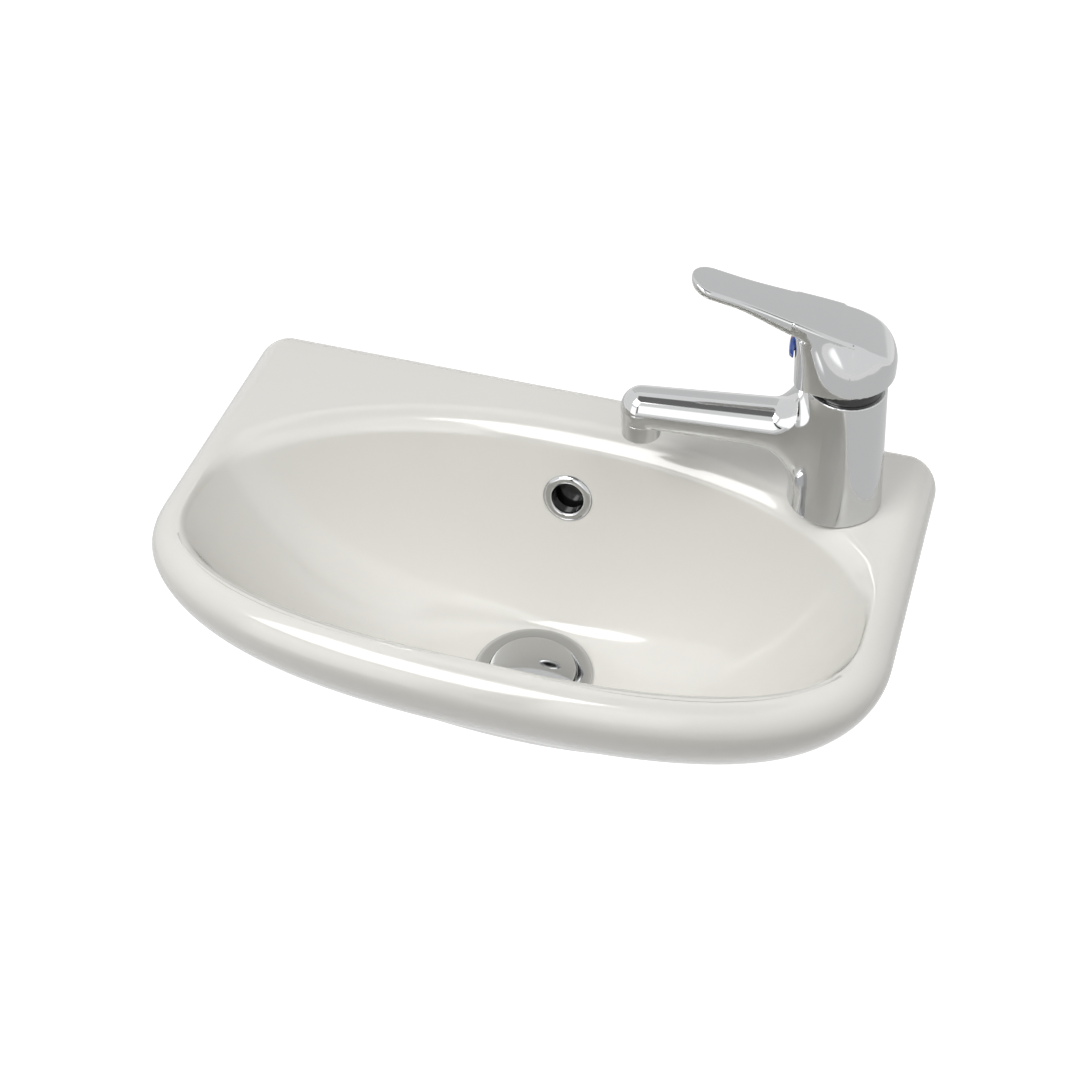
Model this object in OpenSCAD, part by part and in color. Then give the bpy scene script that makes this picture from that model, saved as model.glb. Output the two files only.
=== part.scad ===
// A small wall-hung hand basin with a single-lever mixer tap and a click waste.
// +Z is up, the wall is the plane y = 0 and the front of the basin faces -Y.
// The origin is midway between the two wall bolts, on the back plane.

/* [Basin outline] */
// Width of the basin along the wall
basin_w = 398; // [370:1:440]
// Reach of the basin from the wall to its front edge
basin_d = 234; // [222:1:260]
// Length of each straight side, from the wall forwards
side_len = 146.5; // [132:0.5:158]
// Power of the bowed front's curve, where 2 is an ellipse
front_pow = 2.44; // [2:0.02:2.8]
// Radius of the two back corners, seen from above
corner_r = 17; // [10:1:24]
// Rounding along the top of the front edge
front_round = 15; // [8:0.5:17]
// Rounding along the top of the back edge
back_round = 7; // [3:0.5:10]
// Height of the outer edge, from the deck down to its foot
lip_h = 57; // [48:0.5:64]
// How far the outer edge draws in at its foot
lip_in = 21; // [12:1:26]
// Thickness of the outer edge at its foot
lip_t = 9; // [6:0.5:12]
// Height of the back panel that lies on the wall
panel_h = 128; // [110:1:150]
// Thickness of the back panel
panel_t = 12; // [9:0.5:16]
// Distance from each end of the basin to where the back panel runs out
panel_in = 40; // [30:1:50]
// Width of each slope at the ends of the back panel
panel_run = 48; // [30:1:50]

/* [Bowl] */
// Width of the rim at the two ends of the bowl
side_rim = 18; // [15:0.5:23]
// Distance from the wall to the widest line of the bowl
bowl_y = 140; // [134:0.5:146]
// Width of the rim at the front of the bowl
front_rim = 19.5; // [17:0.5:26]
// Distance from the wall to the back of the bowl's edge
back_ledge = 41; // [36:0.5:50]
// Power of the bowl edge's front curve
bowl_front_pow = 2.6; // [2:0.05:3]
// Power of the bowl edge's back curve
bowl_back_pow = 2.14; // [2:0.05:2.6]
// Depth of the bowl's floor at the waste, below the deck
bowl_depth = 114.5; // [100:0.5:125]
// Depth of the bowl's edge below the deck, at the back
ridge_back = 9; // [4:0.5:12]
// Depth of the bowl's edge below the deck, at the front
ridge_front = 3; // [2:0.5:6]
// Width of the soft slope from the deck to the bowl's edge
slope_w = 16; // [8:0.5:20]
// Power of the bowl's wall curve at the back and front
wall_pow = 1.6; // [1.4:0.05:2.2]
// What is added to that power at the two ends of the bowl
wall_pow_side = 1; // [0:0.1:1.6]
// Thickness of the bowl's wall
bowl_t = 7; // [6:0.5:10]
// Thickness of the deck behind the bowl
deck_t = 12; // [9:0.5:16]

/* [Wall fixing] */
// Distance between the two wall bolt holes
bolt_gap = 200; // [180:1:206]
// Depth of the wall bolt holes below the deck
bolt_drop = 75; // [60:1:90]
// Diameter of each wall bolt hole
bolt_hole = 14; // [10:0.5:18]

/* [Overflow] */
// Depth of the overflow hole below the deck
overflow_drop = 40; // [34:0.5:48]
// Diameter of the overflow ring's flange
ring_d = 29; // [24:0.5:34]
// Diameter of the open hole in the overflow ring
ring_bore = 18; // [14:0.5:19]
// Wall of the overflow ring's sleeve
ring_wall = 1.2; // [0.8:0.1:2]
// How far the ring's flange stands proud of the bowl
ring_proud = 1.8; // [1:0.1:3]
// Length of the overflow ring's sleeve
ring_len = 7; // [4:0.5:8]
// Width of the overflow's channel inside the ceramic
duct_w = 26; // [24:0.5:34]
// Wall between the bowl and the overflow's channel
duct_near = 5.5; // [4.5:0.1:6.5]
// Depth of the overflow's channel, front to back
duct_d = 6; // [5:0.1:7]
// Thickness of the channel's outer wall
duct_t = 5; // [3:0.1:5.4]

/* [Waste] */
// Distance from the wall to the waste's axis
waste_y = 118; // [114:0.5:126]
// Diameter of the hole for the waste
waste_hole = 46; // [44:0.5:48]
// Diameter of the ceramic boss around that hole
boss_d = 62; // [60:0.5:68]
// Height of the ceramic from the bowl's floor to the boss's foot
boss_h = 17; // [16.5:0.5:24]
// Diameter of the waste's visible flange
flange_d = 68; // [62:0.5:72]
// Thickness of the flange at its edge
flange_t = 2.2; // [1.6:0.1:3]
// Outer diameter of the threaded tail
tail_d = 41.9; // [40:0.1:43]
// Bore of the tail
tail_bore = 35; // [33:0.5:37]
// Length of the tail below the bowl's floor
tail_len = 37; // [36:0.5:80]
// Diameter of the plain end of the tail, on which the trap goes
tail_end_d = 39.5; // [39:0.1:40]
// Diameter of the click cap
cap_d = 49; // [44:0.5:52]
// Rise of the click cap's dome above its edge
cap_dome = 2.4; // [1:0.1:5]
// Thickness of the click cap's edge
cap_t = 1.8; // [1.2:0.1:3]
// Width of each overflow slot in the tail
slot_w = 14; // [8:0.5:18]
// Height of each overflow slot in the tail
slot_h = 5; // [3:0.1:5.5]
// Outer diameter of the click barrel
barrel_d = 14; // [12:0.5:18]
// Bore of the click barrel
barrel_bore = 10; // [8:0.5:11]
// Length of the click barrel
barrel_len = 27; // [26:0.5:30]
// Depth of the web that carries the barrel, below the bowl's floor
web_drop = 25; // [22:0.5:26]
// Thickness of the web that carries the barrel
web_t = 4; // [3:0.5:6]
// Diameter of the plug's rod
rod_d = 5; // [4:0.5:6]
// Wire of the click spring
spring_wire = 1; // [0.6:0.1:1.2]
// Turns of the click spring
spring_turns = 6; // [4:1:8]

/* [Waste fastening] */
// Thickness of the rubber under the flange
flange_seal_t = 1; // [0.6:0.1:2]
// Height of the tapered rubber washer
taper_h = 4; // [2.5:0.5:8]
// Thickness of the slip washer
slip_t = 1; // [0.6:0.1:2]
// Height of the backnut
backnut_h = 6; // [5:0.5:10]
// Distance across the backnut's flats
backnut_af = 52; // [49:0.5:58]
// Turn of the backnut's flats
backnut_turn = 18; // [0:1:59]

/* [Tap place] */
// Distance from the basin's right-hand end to the tap's axis
tap_in = 51; // [47:0.5:55]
// Distance from the wall to the tap's axis
tap_y = 48.5; // [42:0.5:52]
// Turn of the spout from along the wall towards the front
tap_turn = 8; // [0:1:20]
// Diameter of the tap hole in the deck
tap_hole = 35; // [33:0.5:36]

/* [Tap body] */
// Diameter of the body's foot
foot_d = 50.5; // [49:0.5:54]
// Diameter of the body's waist
waist_d = 46.4; // [44:0.2:48]
// Height of the waist above the deck
waist_z = 36; // [30:0.5:44]
// Diameter of the body's top
top_d = 40.6; // [39:0.2:42]
// Height of the body's top above the deck
top_z = 77; // [76:0.5:79]
// Height of the spout's axis where it leaves the body
spout_z = 47.5; // [44:0.5:52]
// Rise of the spout along its length
spout_rise = 2.2; // [0:0.1:4]
// Reach of the spout from the tap's axis to the outlet's
spout_reach = 104.5; // [90:0.5:120]
// Radius of the spout next to the body
spout_r0 = 13.5; // [12:0.1:15]
// Radius of the spout at its nose
spout_r1 = 11; // [10.5:0.1:12.5]
// Bore of the spout's waterway
spout_bore = 12; // [8:0.5:14]
// Height of the outlet's mouth above the deck
outlet_z = 32; // [31:0.5:33]

/* [Aerator] */
// Diameter of the aerator's visible ring
aer_d = 21; // [20:0.5:22]
// Height of the aerator's visible ring
aer_h = 10.5; // [8:0.5:11]
// Gap between that ring and the recess in the spout's nose
aer_gap = 0.3; // [0.2:0.05:0.3]
// Diameter of the aerator's thread
aer_thread = 18; // [16:0.5:18.5]
// Length of the aerator's thread
aer_thread_h = 5; // [4:0.5:7]
// Bore of the aerator's shell
aer_bore = 14.6; // [12:0.2:15]
// Thickness of the aerator's washer
aer_washer_t = 1.4; // [1:0.1:2]
// Diameter of each jet in the aerator's insert
jet_d = 1.8; // [1:0.1:2.2]

/* [Cartridge] */
// Height of the floor on which the cartridge stands
cart_z = 38; // [36:0.5:40]
// Diameter of the cartridge's case
cart_d = 25; // [24:0.2:26]
// Wall of the cartridge's case
cart_wall = 2; // [1.5:0.1:2.4]
// Height of the cartridge's case
cart_h = 25; // [24.8:0.2:26]
// Diameter of the chamber around the cartridge
chamber_d = 29; // [28.5:0.1:30]
// Thickness of each disc's plate
disc_t = 3; // [2:0.1:3.2]
// Diameter of the moving disc
disc_d = 17.4; // [16:0.1:17.6]
// Diameter of each port in the cartridge's base
port_d = 5; // [4:0.1:5.4]
// Distance of each port from the cartridge's axis
port_r = 6; // [5.5:0.1:6.4]
// Height of the stem's pivot above the cartridge's floor
pivot_up = 20; // [19.5:0.1:20.5]
// Diameter of the stem's pivot pin
pin_d = 3; // [2:0.1:3.4]
// Width of the stem's square end
stem_w = 8; // [6:0.1:8.4]
// Height of the stem's top above the deck
stem_top = 103; // [101:0.5:105]
// Height of the cartridge's retaining nut
nut_h = 8.5; // [7:0.5:9]
// Height of the shroud ring on the body's top
shroud_h = 6.5; // [4:0.5:6.5]

/* [Lever] */
// Gap between the body and the lever's skirt, at the tap's axis
lever_gap = 8.5; // [7.5:0.1:9.5]
// Rise of the skirt's edge from front to back, per unit of length
skirt_slope = 0.12; // [0.08:0.01:0.16]
// Radius of the lever's round back
head_r = 23.1; // [22:0.1:24]
// Distance from the axis to the lever's front face
nose_u = 27.5; // [26:0.5:29]
// Height of the lever's top above the deck, at the tap's axis
head_top = 114; // [112:0.5:118]
// Slope of the lever's top, rise per unit of length
arm_slope = 0.285; // [0.25:0.005:0.32]
// Distance from the axis to the lever's tip
tip_u = 82; // [74:0.5:90]
// Half the width of the lever's top at the head
head_w = 16.2; // [15:0.1:17]
// Half the width of the lever's arm
arm_w = 10.8; // [9:0.1:12]
// Thickness of the lever's arm at its tip
tip_t = 5.4; // [4.6:0.1:6.6]
// Radius of the hollow under the lever's head
hollow_r = 19.5; // [18:0.1:20]
// Height of the hollow's roof above the deck
hollow_top = 91; // [90:0.5:93]
// Height of the grub screw's axis above the deck
screw_z = 98.5; // [96:0.5:100]
// Diameter of the grub screw
screw_d = 5; // [4:0.1:6]
// Length of the grub screw
screw_len = 8; // [6:0.5:12]
// Diameter of the temperature button
button_d = 12; // [9:0.5:13]
// How far the temperature button stands out
button_proud = 2.6; // [1.5:0.1:3]
// Lift of the lever, in degrees
lift_max = 20; // [10:1:20]

/* [Tap fastening] */
// Thickness of the rubber ring under the tap's foot
base_seal_t = 1.6; // [1:0.1:2.4]
// Gap left under the tap's foot
foot_gap = 0.3; // [0.2:0.05:0.5]
// Diameter of the fixing stud
stud_d = 8; // [6:0.5:8]
// Distance of the stud from the tap's axis
stud_u = 11; // [10:0.5:12]
// Length of the stud below the deck
stud_len = 48; // [40:1:70]
// Diameter of the horseshoe washers
shoe_d = 37; // [36:0.5:38]
// Thickness of the rubber horseshoe washer
shoe_rubber_t = 2.5; // [1.5:0.5:4]
// Thickness of the metal horseshoe washer
shoe_metal_t = 2; // [1.5:0.5:3]
// Room between the horseshoe washers and each inlet
hose_room = 1.5; // [1:0.1:2]
// Play of the horseshoe washers on the stud
stud_play = 1; // [0.5:0.1:1.5]
// Distance across the stud nut's flats
stud_nut_af = 13; // [12:0.5:14]
// Height of the stud nut
stud_nut_h = 8; // [6:0.5:12]
// Diameter of each threaded water inlet
inlet_d = 9; // [8:0.5:10]
// Depth of each threaded water inlet
inlet_len = 14; // [10:0.5:16]
// Distance of each inlet from the tap's axis, along the spout
inlet_u = 4.5; // [4:0.1:5]
// Distance of each inlet from the tap's axis, across the spout
inlet_v = 6.5; // [6:0.1:7]

/* [Fits] */
// Clearance between parts that fit into each other
fit = 0.15; // [0.1:0.05:0.25]
// Radial clearance of the parts that turn or slide
run_fit = 0.05; // [0.03:0.01:0.1]

/* [Hidden] */
$fn = 64;
tiny = 0.01;

// The colours of the finishes
ceramic = [0.94, 0.94, 0.92];
chrome = [0.78, 0.79, 0.8];
brass = [0.8, 0.66, 0.36];
steel = [0.6, 0.61, 0.63];
rubber = [0.12, 0.12, 0.13];
nylon = [0.9, 0.9, 0.88];
alumina = [0.97, 0.96, 0.93];

// Stations around the basin: how many steps each stretch of the outline has
back_steps = 14;
corner_steps = 4;
side_steps = 7;
front_steps = 40;
deck_z = bolt_drop;
bowl_a = basin_w / 2 - side_rim;
bowl_front = basin_d - bowl_y - front_rim;
bowl_back = bowl_y - back_ledge;
panel_out = basin_w / 2 - panel_in;
panel_mid = panel_out - panel_run;
tap_x = basin_w / 2 - tap_in;

function mix(a, b, t) = a + (b - a) * t;
function clamp01(t) = min(1, max(0, t));
function soft(t) = let (s = clamp01(t)) s * s * (3 - 2 * s);
function spow(v, p) = sign(v) * pow(abs(v), p);
function at_z(p, z) = [p[0], p[1], z];
function flat(p) = [p[0], p[1]];

// Outline of the basin in plan, drawn in by side_in at the sides and front and by back_in at the back
function outline(side_in, back_in) =
    let (a = basin_w / 2 - side_in,
         bow = basin_d - side_len - side_in,
         r = max(corner_r - max(side_in, back_in), 2))
    concat(
        [for (i = [0:back_steps - 1]) [mix(a - r, r - a, i / back_steps), -back_in]],
        [for (i = [0:corner_steps - 1]) let (t = 90 + 90 * i / corner_steps)
            [r - a + r * cos(t), -back_in - r + r * sin(t)]],
        [for (i = [0:side_steps - 1]) [-a, mix(-back_in - r, -side_len, i / side_steps)]],
        [for (i = [0:front_steps - 1]) let (t = 180 + 180 * i / front_steps)
            [a * spow(cos(t), 2 / front_pow), -side_len + bow * spow(sin(t), 2 / front_pow)]],
        [for (i = [0:side_steps - 1]) [a, mix(-side_len, -back_in - r, i / side_steps)]],
        [for (i = [0:corner_steps - 1]) let (t = 90 * i / corner_steps)
            [a - r + r * cos(t), -back_in - r + r * sin(t)]]);

rim = outline(0, 0);
stations = len(rim);
bowl_c = [0, -bowl_y];
waste_c = [0, -waste_y];
dirs = [for (p = rim) (p - bowl_c) / norm(p - bowl_c)];
// 1 on the back edge and 0 on the sides and front, with the corners between
backness = [for (i = [0:stations - 1])
    i <= back_steps ? 1
    : i < back_steps + corner_steps ? 1 - (i - back_steps) / corner_steps
    : i >= stations - corner_steps ? (i - stations + corner_steps) / corner_steps
    : 0];
// 1 where the space under the deck is open from below and 0 along the narrow front rim
openness = [for (p = rim) soft((p[1] + side_len - 20) / 60)];

// The bowl's edge in one direction from the bowl's centre
function bowl_reach(d) =
    let (back = d[1] > 0,
         n = back ? bowl_back_pow : bowl_front_pow,
         b = back ? bowl_back : bowl_front)
    1 / pow(pow(abs(d[0]) / bowl_a, n) + pow(abs(d[1]) / b, n), 1 / n);
function ridge_z(d) = -mix(ridge_front, ridge_back, soft((d[1] + 0.5) / 1.1));
function wall_power(d) = wall_pow + wall_pow_side * d[0] * d[0];
function bowl_edge(d) = bowl_c + d * bowl_reach(d);
// A point of the bowl's inner face, from w = 0 at the waste to w = 1 at the edge
floor_r = flange_d / 2 + 1.5;
function bowl_point(d, w) =
    let (p = mix(waste_c + d * floor_r, bowl_edge(d), w))
    at_z(p, -bowl_depth + (bowl_depth + ridge_z(d)) * pow(max(w, 0), wall_power(d)));
function bowl_normal(d, w) =
    let (t = bowl_point(d, min(w + 0.02, 1)) - bowl_point(d, max(w - 0.02, 0)),
         run = norm(flat(t)),
         len = norm(t))
    [d[0] * t[2] / len, d[1] * t[2] / len, -run / len];
function bowl_offset(d, w, t) = bowl_point(d, w) + bowl_normal(d, w) * t;
// How far along the wall curve a depth is reached
function bowl_share(d, z) =
    pow(clamp01((z + bowl_depth) / (bowl_depth + ridge_z(d))), 1 / wall_power(d));

// Depth of the foot of the outer edge: deep along the back panel, shallow elsewhere
function foot_z(i) =
    backness[i] < 1 ? -lip_h
    : -mix(lip_h, panel_h, 1 - soft((abs(rim[i][0]) - panel_mid) / (panel_out - panel_mid)));

bowl_steps = [0, 0.1, 0.2, 0.3, 0.4, 0.5, 0.6, 0.7, 0.79, 0.87, 0.94, 1];
slope_steps = [0.3, 0.65, 1];
slope_share = 0.75;
boss_blend = 1.5;
round_steps = [0, 22.5, 45, 67.5, 90];
apron_steps = [0.25, 0.5, 0.75, 1];
apron_pow = 1.65;
shell_steps = [1, 0.8, 0.6, 0.42, 0.25, 0.1];

// The soft slope from the bowl's edge up to the deck
function slope_ring(s) = [for (i = [0:stations - 1])
    let (d = dirs[i],
         e = bowl_edge(d),
         top = outline(front_round, back_round)[i],
         reach = min(slope_w, slope_share * norm(top - e)))
    at_z(e + d * reach * s, ridge_z(d) * (1 - s) * (1 - s))];
function round_at(i) = mix(front_round, back_round, backness[i]);
function round_ring(t) =
    let (side = front_round * (1 - sin(t)),
         back = back_round * (1 - sin(t)),
         o = outline(side, back))
    [for (i = [0:stations - 1]) at_z(o[i], -round_at(i) * (1 - cos(t)))];
function apron_ring(s) =
    let (o = outline(lip_in * pow(s, apron_pow), 0))
    [for (i = [0:stations - 1]) at_z(o[i], mix(-round_at(i), foot_z(i), s))];
// Underside of the rim: the foot's inner edge, then the roof of the space under the deck
function shell_start(i) =
    mix(bowl_share(dirs[i], -lip_h), 0.9, openness[i]);
function under_ring(k) =
    let (foot = outline(lip_in, 0),
         inner = outline(lip_in + lip_t, panel_t),
         roof = outline(lip_t, panel_t))
    [for (i = [0:stations - 1])
        let (d = dirs[i],
             shut = mix(at_z(foot[i], foot_z(i)), bowl_offset(d, shell_start(i), bowl_t), 0.25 * k),
             open = k == 1 ? at_z(inner[i], foot_z(i))
                 : k == 2 ? at_z(roof[i], -deck_t)
                 : at_z(bowl_edge(d) + d * bowl_t, -deck_t))
        mix(shut, open, openness[i])];

module ring_solid(rings) {
    // A closed skin over a stack of rings with the same number of points
    n = len(rings[0]);
    m = len(rings);
    points = [for (r = rings) each r];
    sides = [for (j = [0:m - 2]) for (i = [0:n - 1])
        let (a = j * n + i, b = j * n + (i + 1) % n, c = a + n, e = b + n)
        each [[a, b, e], [a, e, c]]];
    polyhedron(points, concat(sides,
        [[for (i = [0:n - 1]) n - 1 - i]],
        [[for (i = [0:n - 1]) (m - 1) * n + i]]), convexity = 10);
}

module basin_shell() {
    rings = concat(
        [for (w = bowl_steps) [for (d = dirs) bowl_point(d, w)]],
        [for (s = slope_steps) slope_ring(s)],
        [for (t = round_steps) round_ring(t)],
        [for (s = apron_steps) apron_ring(s)],
        [for (k = [1:3]) under_ring(k)],
        [for (s = shell_steps) [for (i = [0:stations - 1])
            bowl_offset(dirs[i], shell_start(i) * s, bowl_t)]],
        [[for (d = dirs) at_z(waste_c + d * boss_d / 2, -bowl_depth - bowl_t - boss_blend)],
         [for (d = dirs) at_z(waste_c + d * boss_d / 2, -bowl_depth - boss_h)]]);
    ring_solid(rings);
}

// The overflow hole sits square on the bowl's back wall
back_dir = [0, 1];
overflow_w = bowl_share(back_dir, -overflow_drop);
overflow_p = bowl_point(back_dir, overflow_w);
overflow_n = bowl_normal(back_dir, overflow_w);
overflow_tilt = atan2(overflow_n[1], overflow_n[2]);
sleeve_d = ring_bore + 2 * ring_wall;
// How far a cutting tool runs past the face that it starts from
over = 8;
duct_top = bowl_share(back_dir, -overflow_drop + sleeve_d / 2 + 2);
duct_steps = [for (k = [0:8]) duct_top * k / 8];

module at_overflow() {
    // Local z points from the bowl into the wall
    translate(overflow_p) rotate([-overflow_tilt, 0, 0]) children();
}

// A strip behind the bowl's back wall, between two distances from its inner face
module duct_strip(near, far, width, top, foot) {
    steps = [for (w = duct_steps) w * top / duct_top];
    inner = [for (w = steps) let (p = bowl_offset(back_dir, w, near)) [p[1], p[2]]];
    outer = [for (w = steps) let (p = bowl_offset(back_dir, w, far)) [p[1], p[2]]];
    n = len(steps);
    rotate([90, 0, 90]) linear_extrude(width, center = true)
        polygon(concat(
            [[foot, -bowl_depth - near]],
            inner,
            [for (i = [0:n - 1]) outer[n - 1 - i]],
            [[foot, -bowl_depth - far]]));
}

module basin_body() {
    color(ceramic) translate([0, 0, deck_z]) difference() {
        union() {
            basin_shell();
            duct_strip(duct_near - 2, duct_near + duct_d + duct_t, duct_w + 2 * duct_t,
                min(duct_top + 0.05, 0.96), -waste_y + boss_d / 2 - 4);
        }
        duct_strip(duct_near, duct_near + duct_d, duct_w, duct_top, -waste_y + waste_hole / 2 - 3);
        at_overflow() {
            translate([0, 0, -over]) cylinder(d = sleeve_d + 2 * fit, h = over + duct_near + duct_d / 2);
            translate([0, 0, -over]) cylinder(d = ring_d + 2 * fit, h = over);
        }
        translate([waste_c[0], waste_c[1], -bowl_depth - boss_h - 1])
            cylinder(d = waste_hole, h = boss_h + 2);
        translate([tap_x, -tap_y, -deck_t - 1]) cylinder(d = tap_hole, h = deck_t + 2);
        for (s = [-1, 1])
            translate([s * bolt_gap / 2, 1, -bolt_drop]) rotate([90, 0, 0])
                cylinder(d = bolt_hole, h = panel_t + 2);
    }
}

module overflow_ring() {
    color(chrome) translate([0, 0, deck_z]) at_overflow() rotate_extrude()
        polygon([[ring_bore / 2, ring_len], [ring_bore / 2, -ring_proud * 0.5],
                 [ring_bore / 2 + 0.9, -ring_proud], [ring_d / 2 - 2.2, -ring_proud],
                 [ring_d / 2 - 0.5, -ring_proud * 0.45], [ring_d / 2, 0],
                 [sleeve_d / 2, 0], [sleeve_d / 2, ring_len]]);
}

// The waste hangs on its flange, which lies on a rubber ring on the bowl's floor
floor_z = deck_z - bowl_depth;
flange_z = floor_z + flange_seal_t;
boss_z = floor_z - boss_h;
nut_foot = boss_z - taper_h - slip_t - backnut_h;
seat_gap = 0.05;
gasket_t = 1.6;
stub_r = rod_d / 2 + 4;
stub_h = 2.5;
seat_r = cap_d / 2 - 1.2;
throat_r = cap_d / 2 - 4.5;
rim_z = flange_z + flange_t;
gasket_z = rim_z - gasket_t;
web_z = floor_z - web_drop;
duct_mid = bowl_depth + duct_near + duct_d / 2;
flange_edge = 0.7;
taper_plug = 2;
taper_in = 4;
slip_in = 2;
flange_roll = 5;
cap_gap = 0.5;
throat_drop = 6;
hub_t = 4;
rib_t = 3;
collar_t = 3;
collar_h = 4;

module at_waste(z) {
    translate([waste_c[0], waste_c[1], z]) children();
}

module waste_body() {
    tail_z = floor_z - tail_len;
    color(chrome) difference() {
        union() {
            at_waste(0) rotate_extrude()
                polygon([[tail_bore / 2, tail_z], [tail_end_d / 2, tail_z], [tail_end_d / 2, nut_foot],
                         [tail_d / 2, nut_foot], [tail_d / 2, flange_z],
                         [flange_d / 2, flange_z], [flange_d / 2, flange_z + flange_edge],
                         [flange_d / 2 - flange_roll / 2, rim_z - 0.2], [flange_d / 2 - flange_roll, rim_z],
                         [cap_d / 2 + cap_gap, rim_z], [cap_d / 2 + cap_gap, gasket_z],
                         [throat_r, gasket_z], [tail_bore / 2, gasket_z - throat_drop]]);
            at_waste(web_z) cylinder(d = barrel_d + 2 * hub_t, h = web_t);
            for (a = [0:60:179])
                at_waste(web_z + web_t / 2) rotate([0, 0, a])
                    cube([tail_bore + 1, rib_t, web_t], center = true);
        }
        at_waste(web_z - 1) cylinder(d = barrel_d + 2 * fit, h = web_t + 2);
        for (a = [0, 90])
            at_waste(deck_z - duct_mid) rotate([0, 0, a])
                cube([slot_w, tail_d + 10, slot_h], center = true);
    }
}

module waste_flange_seal() {
    color(rubber) at_waste(floor_z) rotate_extrude()
        polygon([[tail_d / 2 + fit, 0], [flange_d / 2 - 2, 0],
                 [flange_d / 2 - 2, flange_seal_t], [tail_d / 2 + fit, flange_seal_t]]);
}

module waste_taper_washer() {
    color(rubber) at_waste(boss_z) rotate_extrude()
        polygon([[tail_d / 2 + fit, taper_plug], [waste_hole / 2 - fit, taper_plug],
                 [waste_hole / 2 - fit, 0], [boss_d / 2 - taper_in - 1, 0], [boss_d / 2 - taper_in, -taper_h],
                 [tail_d / 2 + fit, -taper_h]]);
}

module waste_slip_washer() {
    color(nylon) at_waste(boss_z - taper_h - slip_t) difference() {
        cylinder(d = boss_d - 2 * slip_in, h = slip_t);
        translate([0, 0, -1]) cylinder(d = tail_d + 2 * fit, h = slip_t + 2);
    }
}

module waste_backnut() {
    color(brass) at_waste(nut_foot) difference() {
        rotate([0, 0, backnut_turn]) cylinder(d = backnut_af / cos(30), h = backnut_h, $fn = 6);
        translate([0, 0, -1]) cylinder(d = tail_d + 2 * run_fit, h = backnut_h + 2);
    }
}

// The click mechanism: a barrel in the web, a spring and a rod with a piston
barrel_foot = web_z - collar_h;
barrel_floor = 2;
barrel_roof = 3;
spring_gap = 0.6;
spring_h = 8;
spring_z = barrel_foot + barrel_floor;
piston_z = spring_z + spring_h;
piston_h = 4;

module click_barrel() {
    color(nylon) at_waste(barrel_foot) difference() {
        union() {
            cylinder(d = barrel_d, h = barrel_len);
            cylinder(d = barrel_d + 2 * collar_t, h = collar_h);
            translate([0, 0, collar_h + web_t]) cylinder(d = barrel_d + collar_t, h = collar_t);
        }
        translate([0, 0, barrel_floor])
            cylinder(d = barrel_bore, h = barrel_len - barrel_floor - barrel_roof);
        translate([0, 0, barrel_floor + 1]) cylinder(d = rod_d + 2 * run_fit, h = barrel_len);
    }
}

// Points round the wire's section at one place along the coil
function wire_ring(a, r, rise, wire) =
    [for (k = [0:5]) let (q = 60 * k, rr = r + wire / 2 * cos(q))
        [rr * cos(a), rr * sin(a), rise * a / 360 + wire / 2 * sin(q)]];

module click_spring() {
    r = barrel_bore / 2 - spring_wire / 2 - spring_gap;
    rise = (spring_h - spring_wire - 2 * seat_gap) / spring_turns;
    color(steel) at_waste(spring_z + spring_wire / 2 + seat_gap)
        ring_solid([for (k = [0:spring_turns * 16]) wire_ring(k * 22.5, r, rise, spring_wire)]);
}

module plug_rod() {
    color(steel) {
        at_waste(piston_z) cylinder(d = barrel_bore - 2 * run_fit, h = piston_h);
        at_waste(piston_z) cylinder(d = rod_d, h = rim_z - piston_z);
    }
}

module plug_gasket() {
    color(rubber) at_waste(gasket_z) rotate_extrude()
        polygon([[stub_r, 0.1], [seat_r, 0.1], [seat_r, gasket_t], [stub_r, gasket_t]]);
}

module plug_cap() {
    r = cap_d / 2;
    dome_r = (r * r + cap_dome * cap_dome) / (2 * cap_dome);
    half = asin(r / dome_r);
    color(chrome) difference() {
        union() {
            at_waste(rim_z) rotate_extrude()
                polygon(concat([[0, 0], [r - 0.6, 0], [r, 0.6]],
                    [for (k = [0:12]) let (t = half * (1 - k / 12))
                        [dome_r * sin(t), cap_t + dome_r * cos(t) - dome_r * cos(half)]]));
            at_waste(gasket_z - stub_h) cylinder(r = stub_r - fit, h = gasket_t + stub_h + tiny);
        }
        at_waste(gasket_z - stub_h - 1) cylinder(d = rod_d, h = gasket_t + stub_h + 1);
    }
}

// The tap's own axes: u runs along the spout, v across it and z up from the deck
module at_tap() {
    translate([tap_x, -tap_y, deck_z]) rotate([0, 0, 180 + tap_turn]) children();
}

spout_u = 24;
neck_rise = 15.8;
neck_flare = 6;
edge = 0.6;
shoe_top = -deck_t - seat_gap;
seal_out = 23;
seal_in = 18;
stud_in = 12;
port_turn = 60;
port_angles = [port_turn, 180, -port_turn];
spout_tilt = atan(spout_rise / (spout_reach - spout_u));
nose_z = spout_z + spout_rise;
mouth_z = outlet_z + aer_h;

// Half-sizes of the spout's section at a distance u from the tap's axis
function spout_r(u) = mix(spout_r0, spout_r1, clamp01((u - spout_u) / (spout_reach - spout_u)));
function spout_mid(u) = mix(spout_z, nose_z, clamp01((u - spout_u) / (spout_reach - spout_u)));
function neck_up(u) = neck_rise * pow(clamp01((36 - u) / 12), 1.7);
function neck_side(u) = neck_flare * pow(clamp01((34 - u) / 24), 2);
function neck_down(u) = 26 * pow(clamp01((46 - u) / 24), 2.4);
function spout_section(u, end) =
    [for (k = [0:23])
        let (t = -15 * k,
             r = spout_r(u) * end,
             up = r + neck_up(u),
             down = r + neck_down(u))
        [u, (r + neck_side(u)) * cos(t), spout_mid(u) + (sin(t) > 0 ? up : down) * sin(t)]];

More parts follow.
